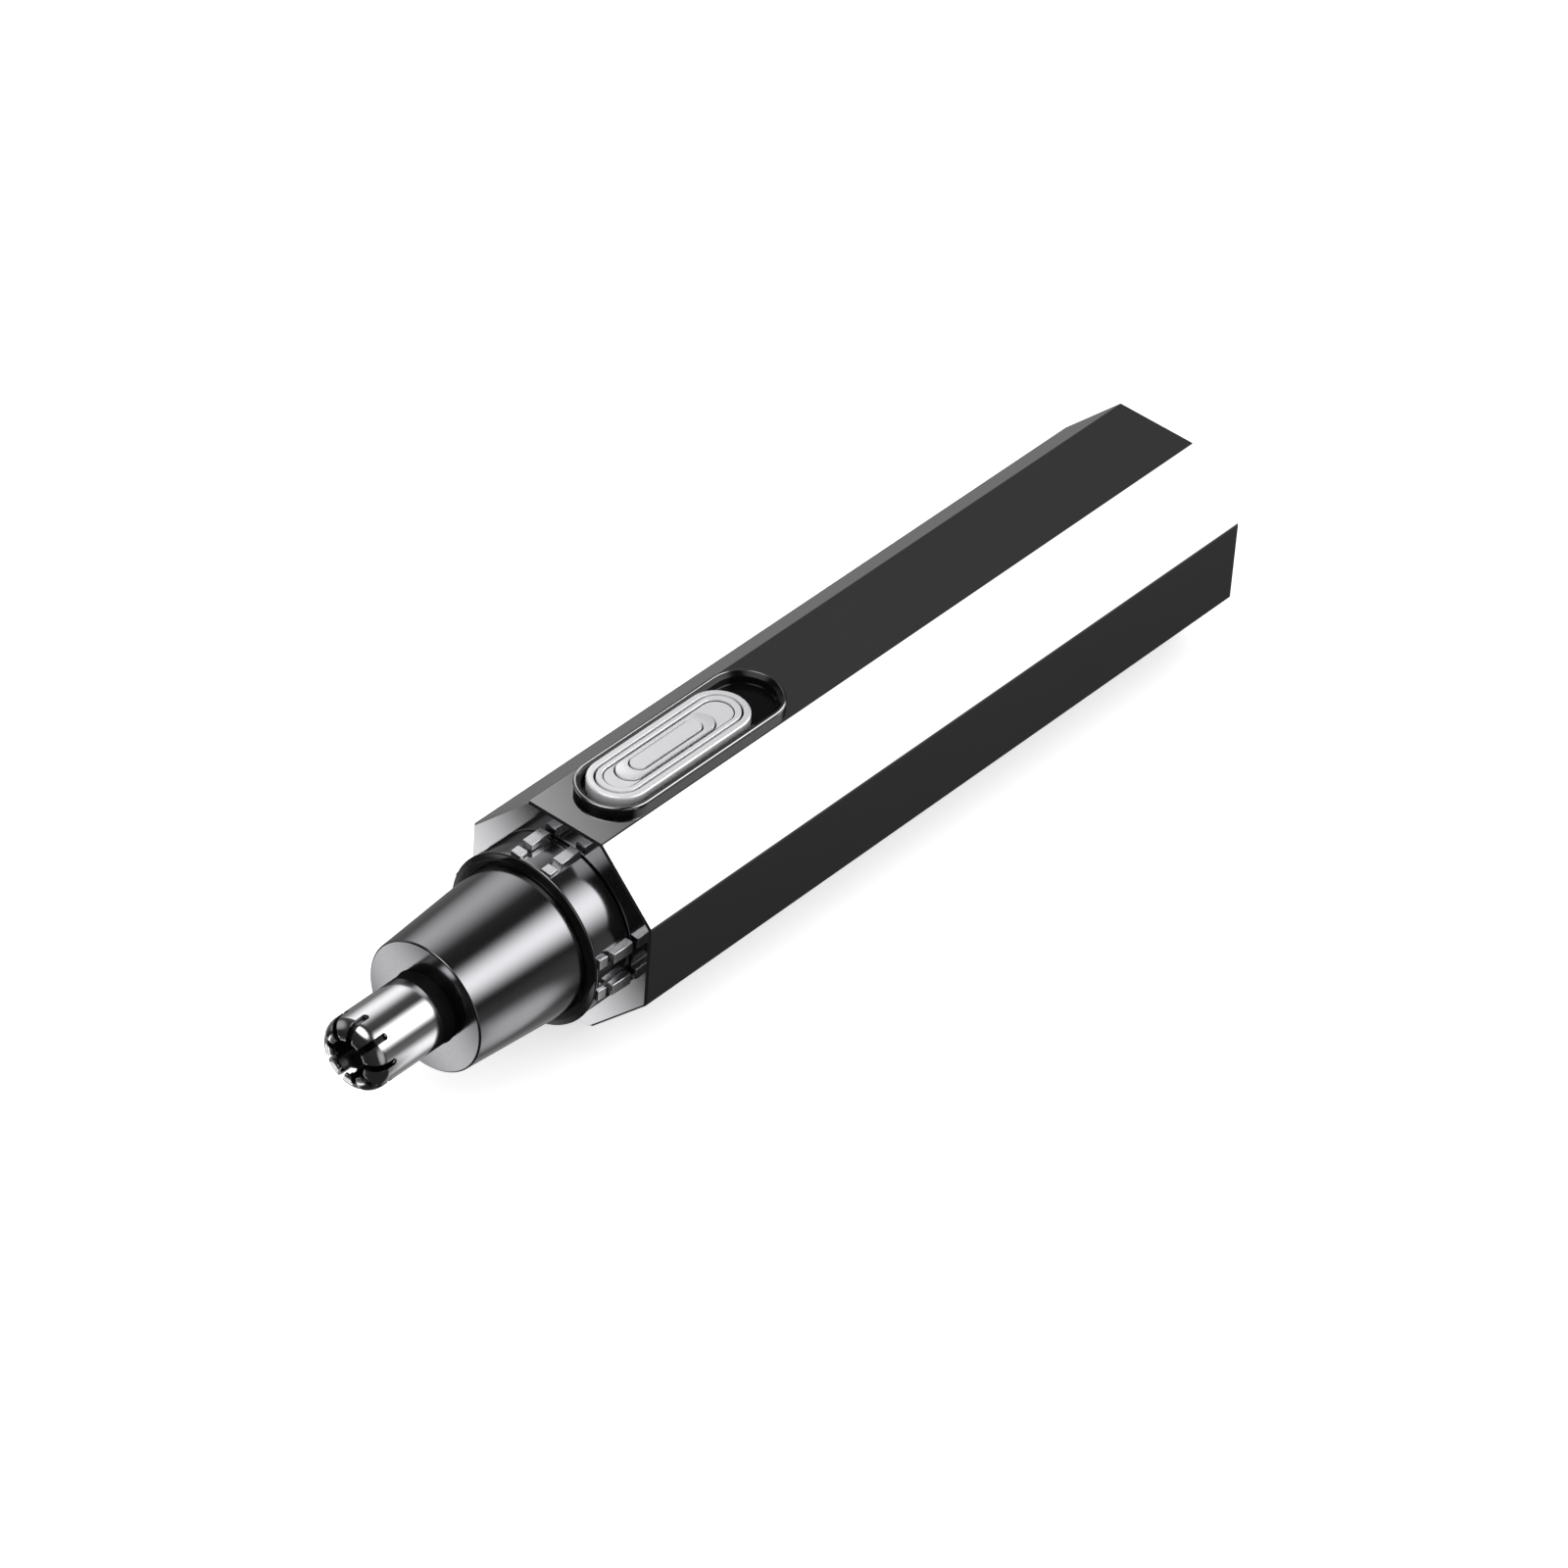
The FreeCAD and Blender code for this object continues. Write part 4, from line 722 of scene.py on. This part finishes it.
def lug(outline):
    """Bayonet lug: a short arc of an outline of (radius, y)."""
    bm = bmesh.new()
    rings = []
    for k in range(LUG_STEPS + 1):
        turn = LUG_HALF * (2 * k / LUG_STEPS - 1)
        rings.append([bm.verts.new((r * math.sin(turn) * MM, y * MM, r * math.cos(turn) * MM))
                      for r, y in outline])
    bm.faces.new(rings[0])
    bm.faces.new(rings[-1])
    join_rings(bm, rings)
    return mesh_of(bm, "lug")


def collar_mesh(rib_round):
    """The collar with its recesses and lugs, and its grip ribs as a mesh of their own."""
    half_step = TAU / (2 * RIB_COUNT)

    def recessed(radius, y, turn):
        off = abs((turn + half_step) % (2 * half_step) - half_step)
        along = RECESS_START < y < RECESS_END
        return radius - RECESS_DEPTH if (off < RECESS_TURN and along
                                         and radius > RECESS_WALL) else radius

    extra = [(TAU * k / RIB_COUNT + side * (RECESS_TURN + shift)) % TAU
             for k in range(RIB_COUNT) for side in (-1, 1)
             for shift in (-RECESS_SLOPE, RECESS_SLOPE)]
    ring = lathe(rounded(COLLAR), extra, recessed)
    bars = [prism(outline, side - RIB_HALF, side + RIB_HALF)
            for side in (-RIB_SIDE, RIB_SIDE) for outline in (RIB_NUB, RIB_BLOCK)]
    ribs = about_axis(soft_edged(joined(*bars), rib_round), RIB_COUNT)
    return joined(ring, about_axis(lug(COLLAR_LUG), LUG_COUNT)), ribs


def cone_mesh():
    """The cone and its spigot, with two keyways and three lugs."""
    keyway = prism(KEYWAY, -KEYWAY_HALF, KEYWAY_HALF)
    cut = slotted_about_axis(lathe(rounded(CONE)), keyway, KEYWAY_COUNT)
    return joined(cut, about_axis(lug(CONE_LUG), LUG_COUNT))


def slot_cutter(half):
    """Cutter for one slot of the tube, half wide, with a round keyhole at its inner end."""
    bm = bmesh.new()
    opening = math.asin(half / KEYHOLE)
    shape = [(-half, SLOT_MOUTH), (half, SLOT_MOUTH)]
    for k in range(KEYHOLE_STEPS + 1):
        turn = opening + (TAU - 2 * opening) * k / KEYHOLE_STEPS
        shape.append((KEYHOLE * math.sin(turn), SLOT_END - KEYHOLE * math.cos(turn)))
    walls = [[bm.verts.new((x * MM, y * MM, z * MM)) for x, y in shape]
             for z in (SLOT_FLOOR, SLOT_ROOF)]
    for wall in walls:
        bm.faces.new(wall)
    join_rings(bm, walls)
    return mesh_of(bm, "slot_cutter")


def tube_mesh(settings):
    """The cutter tube with its slots, their edges just broken."""
    cut = slotted_about_axis(lathe(rounded(TUBE, steps=12), steps=180),
                             slot_cutter(settings.slot_half / MM), settings.slots)
    return soft_edged(cut, SLOT_BREAK, segments=2, corner=50)


# ------------------------------------------------------------------ operators

# The handle's bore and front wall, the hole for the head, and the switch opening, in mm.
BORE, FRONT_WALL, HEAD_HOLE = 12.3, 1.2, 10.2
OPENING_INSET, OPENING_FOOT, OPENING_TOP = 0.68, -5.0, 2.0
SPRING = {"Turns": 6.9, "Radius": 1.9 * MM, "Height": 8.6 * MM, "Wire": 0.2 * MM,
          "Start": -15.6 * MM}


class TRIMMER_OT_finishes(bpy.types.Operator):
    """Make the trimmer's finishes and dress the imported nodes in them"""

    bl_idname = "trimmer.finishes"
    bl_label = "Finishes"

    def execute(self, context):
        make_finishes()
        dress_nodes()
        return {"FINISHED"}


class TRIMMER_OT_housing(bpy.types.Operator):
    """Polished octagonal tube"""

    bl_idname = "trimmer.housing"
    bl_label = "Housing"

    def execute(self, context):
        bm = bmesh.new()
        walls = [stadium_ring(bm, *inset(BEZEL, OPENING_INSET, level))
                 for level in (OPENING_FOOT, OPENING_TOP)]
        for wall in walls:
            bm.faces.new(wall)
        join_rings(bm, walls)
        opening = draft(mesh_of(bm, "switch_opening"))
        body = context.scene.trimmer_body
        mesh = octagonal_tube().grow(
            Across=2 * FLAT, Length=REAR - FRONT, Edge=body.edge, Chamfer=body.chamfer,
            Bore=BORE * MM, Wall=FRONT_WALL * MM, Nose=HEAD_HOLE * MM, Opening=opening)
        bpy.data.objects.remove(opening)
        show("housing", mesh, "handle", "dark_metal", ["housing_shell"])
        return {"FINISHED"}


class TRIMMER_OT_switch(bpy.types.Operator):
    """Raised bezel and ridged sliding button"""

    bl_idname = "trimmer.switch"
    bl_label = "Switch"

    def execute(self, context):
        show("bezel", bezel_mesh(), "handle", "gloss_black", ["switch_bezel"])
        show("bezel_trim", trim_mesh(), "handle", "gloss_black", ["switch_bezel"],
             look="black_mirror")
        # Painted shade: matt black strips in the slider's grooves, in place of their shadow.
        show("slider_lines", groove_shade_strips(), "slider", "bright_metal", ["power_slider"],
             look="dull_black")
        show("slider", slider_mesh(), "slider", "bright_metal", ["power_slider"])
        return {"FINISHED"}


class TRIMMER_OT_collar(bpy.types.Operator):
    """Locking collar with its grip ribs"""

    bl_idname = "trimmer.collar"
    bl_label = "Collar"

    def execute(self, context):
        ring, ribs = collar_mesh(context.scene.trimmer_head.rib_round)
        show("collar", ring, "collar", "satin_metal", ["lock_collar"])
        # The ribs' bright chrome is partly polished metal and partly a painted highlight.
        show("collar_ribs", ribs, "collar", "satin_metal", ["lock_collar"], look="rib_polish_and_highlight")
        return {"FINISHED"}


class TRIMMER_OT_cone(bpy.types.Operator):
    """Cone, ring and neck of the cutter head"""

    bl_idname = "trimmer.cone"
    bl_label = "Head cone"

    def execute(self, context):
        show("cone", cone_mesh(), "head", "satin_metal", ["head_cone"])
        show("ring", lathe(rounded(RING)), "head", "gloss_black", ["head_ring"])
        show("neck", lathe(rounded(NECK)), "head", "gloss_black", ["neck_sleeve"],
             look="dull_black")
        return {"FINISHED"}


class TRIMMER_OT_cutter(bpy.types.Operator):
    """Slotted tube, and the spring behind the blade"""

    bl_idname = "trimmer.cutter"
    bl_label = "Cutter"

    def execute(self, context):
        show("tube", tube_mesh(context.scene.trimmer_cutter), "head", "chrome",
             ["cutter_tube"])
        show("spring", coil().grow(**SPRING), "blade", "steel", ["blade_spring"], corner=60)
        return {"FINISHED"}


# ------------------------------------------------------------------ stage

# The view of the trimmer in degrees and metres, and the place along its axis, behind the
# front face, that the view is centred on.
VIEW = {"azimuth": 38.11, "elevation": 39.04, "roll": 4.27, "distance": 1.0453,
        "lens": 204.6, "sensor": 36.0, "centre": 0.050, "aside": -0.0070, "above": -0.0075}
NEAREST, FARTHEST = 0.05, 50


def camera():
    """Camera of the main view."""
    turn, tilt = math.radians(VIEW["azimuth"]), math.radians(VIEW["elevation"])
    roll = math.radians(VIEW["roll"])
    back = Vector((math.sin(turn) * math.cos(tilt), -math.cos(turn) * math.cos(tilt),
                   math.sin(tilt)))
    level = Vector((math.cos(turn), math.sin(turn), 0))
    upright = back.cross(level)
    right = level * math.cos(roll) + upright * math.sin(roll)
    up = upright * math.cos(roll) - level * math.sin(roll)
    centre = PLACE @ Vector((0, VIEW["centre"], 0))
    eye = centre + back * VIEW["distance"] + right * VIEW["aside"] + up * VIEW["above"]
    data = bpy.data.cameras.new("camera")
    data.lens, data.sensor_width = VIEW["lens"], VIEW["sensor"]
    data.clip_start, data.clip_end = NEAREST, FARTHEST
    thing = bpy.data.objects.new("camera", data)
    axes = Matrix((right, up, back)).transposed().to_4x4()
    thing.matrix_world = Matrix.Translation(eye) @ axes
    bpy.context.scene.collection.objects.link(thing)
    bpy.context.scene.camera = thing


def softbox(name, centre, target, width, height, radiance, fade):
    """Rectangular light that fades towards its edges: width across the trimmer, height
    along it. fade is the share of each half that fades, and it lights mirrors only."""
    data = bpy.data.lights.new(name, "AREA")
    data.shape = "RECTANGLE"
    data.size, data.size_y = width, height
    data.energy = radiance * width * height * math.pi
    data.use_nodes = True
    n = Nodes(data.node_tree)
    spot = n.out("ShaderNodeNewGeometry", output="Parametric")
    sides = n.add("ShaderNodeSeparateXYZ", {"Vector": spot})
    strength = 1.0
    for side, share in zip(("X", "Y"), fade):
        shift = n.out("ShaderNodeMath", {0: sides.outputs[side], 1: 0.5},
                      operation="SUBTRACT")
        off = n.out("ShaderNodeMath", {0: shift}, operation="ABSOLUTE")
        inside = n.out("ShaderNodeMapRange", {"Value": off, "From Min": 0.5,
                                              "From Max": 0.5 - 0.5 * share},
                       interpolation_type="SMOOTHSTEP")
        strength = n.out("ShaderNodeMath", {0: inside, 1: strength}, operation="MULTIPLY")
    glowing = n.out("ShaderNodeEmission", {"Strength": strength})
    n.add("ShaderNodeOutputLight", {"Surface": glowing})
    thing = bpy.data.objects.new(name, data)
    away = (Vector(centre) - Vector(target)).normalized()
    side = Vector((0, 1, 0)).cross(away).normalized()
    axes = Matrix((side, away.cross(side), away)).transposed().to_4x4()
    thing.matrix_world = Matrix.Translation(centre) @ axes
    thing.visible_diffuse = False
    thing.visible_camera = False
    bpy.context.scene.collection.objects.link(thing)


MIRRORED_ACROSS, MIRRORED_ALONG = 0.791, 0.611


def mirrored_from(slant):
    """Direction that sides along the axis mirror into the main view, in degrees from
    straight up towards +X. The view fixes how far it leans to the rear."""
    turn = math.radians(slant)
    return Vector((MIRRORED_ACROSS * math.sin(turn), MIRRORED_ALONG,
                   MIRRORED_ACROSS * math.cos(turn)))


# What faces square to the axis mirror into the main view.
FORWARD = Vector((-0.479, -0.611, -0.630))

# Soft panels mirrored by the polished parts: direction, place along the trimmer that mirrors
# the middle, distance, size across and along, radiance, and the share of each half that fades.
PANELS = {
    "key_softbox": (mirrored_from(47), 0.05, 0.9, (1.1, 1.6), 3.1, (1.0, 0.5)),
    "nose_softbox": (mirrored_from(-49), -0.082, 0.35, (0.454, 0.158), 1.15, (1.0, 0.6)),
    "tip_card": (mirrored_from(133), -0.031, 0.07, (0.075, 0.0142), 1.2, (0.9, 0.45)),
    "face_card": (FORWARD, 0.0206, 0.11, (0.06, 0.040), 1.5, (0.4, 0.6)),
    "rim_card": (FORWARD, -0.0167, 0.09, (0.06, 0.013), 2.6, (0.4, 1.0)),
}


def glow(n, direction, towards, inner, outer, strength):
    """Soft round patch of sky about a direction, from inner to outer degrees."""
    facing = n.out("ShaderNodeVectorMath", {0: direction, 1: Vector(towards).normalized()},
                   operation="DOT_PRODUCT", output="Value")
    return n.out("ShaderNodeMapRange", {
        "Value": facing, "From Min": math.cos(math.radians(outer)),
        "From Max": math.cos(math.radians(inner)), "To Min": 0.0, "To Max": strength},
        interpolation_type="SMOOTHSTEP")


# Room around the trimmer in reflections: its own radiance, and broad soft patches with
# direction, inner and outer degrees and radiance.
ROOM = 0.02
SKY_PATCHES = (
    ((-0.56, 0.61, 0.56), 12, 50, 0.055),
    ((-0.63, 0.61, -0.48), 15, 50, 0.18),
    ((-0.1, -0.38, 0.92), 10, 30, 2.0),
    ((1.0, -0.1, 0.1), 6, 30, 0.4),
    ((-0.95, -0.3, 0.1), 6, 30, 0.4),
    ((0.0, 0.60, -0.80), 8, 27, 0.20),
    ((0.68, 0.68, -0.26), 8, 30, 0.12),
)


def studio_sky(brightness):
    """Pale room: even light on matt things, a darker room with soft panels in reflections."""
    world = bpy.data.worlds.new("studio")
    bpy.context.scene.world = world
    world.use_nodes = True
    n = Nodes(world.node_tree)
    direction = n.out("ShaderNodeTexCoord", output="Generated")
    total = ROOM
    for towards, inner, outer, strength in SKY_PATCHES:
        patch = glow(n, direction, towards, inner, outer, strength)
        total = n.out("ShaderNodeMath", {0: total, 1: patch}, operation="ADD")
    path = n.add("ShaderNodeLightPath")
    mirrored = path.outputs["Is Glossy Ray"]
    strength = n.out("ShaderNodeMix", {"Factor": mirrored, "A": brightness, "B": total})
    sky = n.add("ShaderNodeBackground", {"Color": (1, 1, 1, 1), "Strength": strength})
    n.add("ShaderNodeOutputWorld", {"Surface": sky.outputs[0]})


FLOOR_GLOW = 0.55


def floor(side):
    """Pale square floor that glows a little, so that shadows on it stay faint."""
    material = finish("pale_floor", grey(0.90), grey(0.88), (0.8, 0.9), 300, relief=0.05,
                      extras={"Emission Color": (1, 1, 1, 1), "Emission Strength": FLOOR_GLOW})
    bm = bmesh.new()
    bmesh.ops.create_grid(bm, x_segments=4, y_segments=4, size=side / 2)
    mesh = mesh_of(bm, "floor")
    mesh.materials.append(material)
    thing = bpy.data.objects.new("floor", mesh)
    bpy.context.scene.collection.objects.link(thing)
    thing.visible_glossy = False


class TRIMMER_OT_stage(bpy.types.Operator):
    """Pale floor, studio light and the camera"""

    bl_idname = "trimmer.stage"
    bl_label = "Stage"

    def execute(self, context):
        stage = context.scene.trimmer_stage
        floor(stage.floor_size)
        studio_sky(stage.sky)
        for name, (towards, behind, distance, size, radiance, fade) in PANELS.items():
            middle = PLACE @ Vector((0, behind, 0))
            softbox(name, middle + towards * distance, middle, *size,
                    radiance * stage.light, fade)
        camera()
        context.scene.view_settings.view_transform = "Standard"
        return {"FINISHED"}


class TRIMMER_PT_panel(bpy.types.Panel):
    """Lists the trimmer's pieces"""

    bl_label = "Trimmer"
    bl_idname = "TRIMMER_PT_panel"
    bl_space_type = "VIEW_3D"
    bl_region_type = "UI"
    bl_category = "Trimmer"

    def draw(self, context):
        for group, _ in SETTINGS:
            settings = getattr(context.scene, group)
            for name in settings.__annotations__:
                self.layout.prop(settings, name)
        for operator in PIECES:
            self.layout.operator(operator.bl_idname)


SETTINGS = (("trimmer_body", TRIMMER_PG_body), ("trimmer_head", TRIMMER_PG_head),
            ("trimmer_cutter", TRIMMER_PG_cutter), ("trimmer_stage", TRIMMER_PG_stage))
PIECES = (TRIMMER_OT_finishes, TRIMMER_OT_housing, TRIMMER_OT_switch, TRIMMER_OT_collar,
          TRIMMER_OT_cone, TRIMMER_OT_cutter, TRIMMER_OT_stage)


def register():
    for name, group in SETTINGS:
        bpy.utils.register_class(group)
        setattr(bpy.types.Scene, name, PointerProperty(type=group))
    for operator in PIECES:
        bpy.utils.register_class(operator)
    bpy.utils.register_class(TRIMMER_PT_panel)


def unregister():
    bpy.utils.unregister_class(TRIMMER_PT_panel)
    for operator in reversed(PIECES):
        bpy.utils.unregister_class(operator)
    for name, group in SETTINGS:
        delattr(bpy.types.Scene, name)
        bpy.utils.unregister_class(group)


def main():
    register()
    for operator in PIECES:
        family, name = operator.bl_idname.split(".")
        getattr(getattr(bpy.ops, family), name)()
    bpy.context.view_layer.update()


if __name__ == "__main__":
    main()
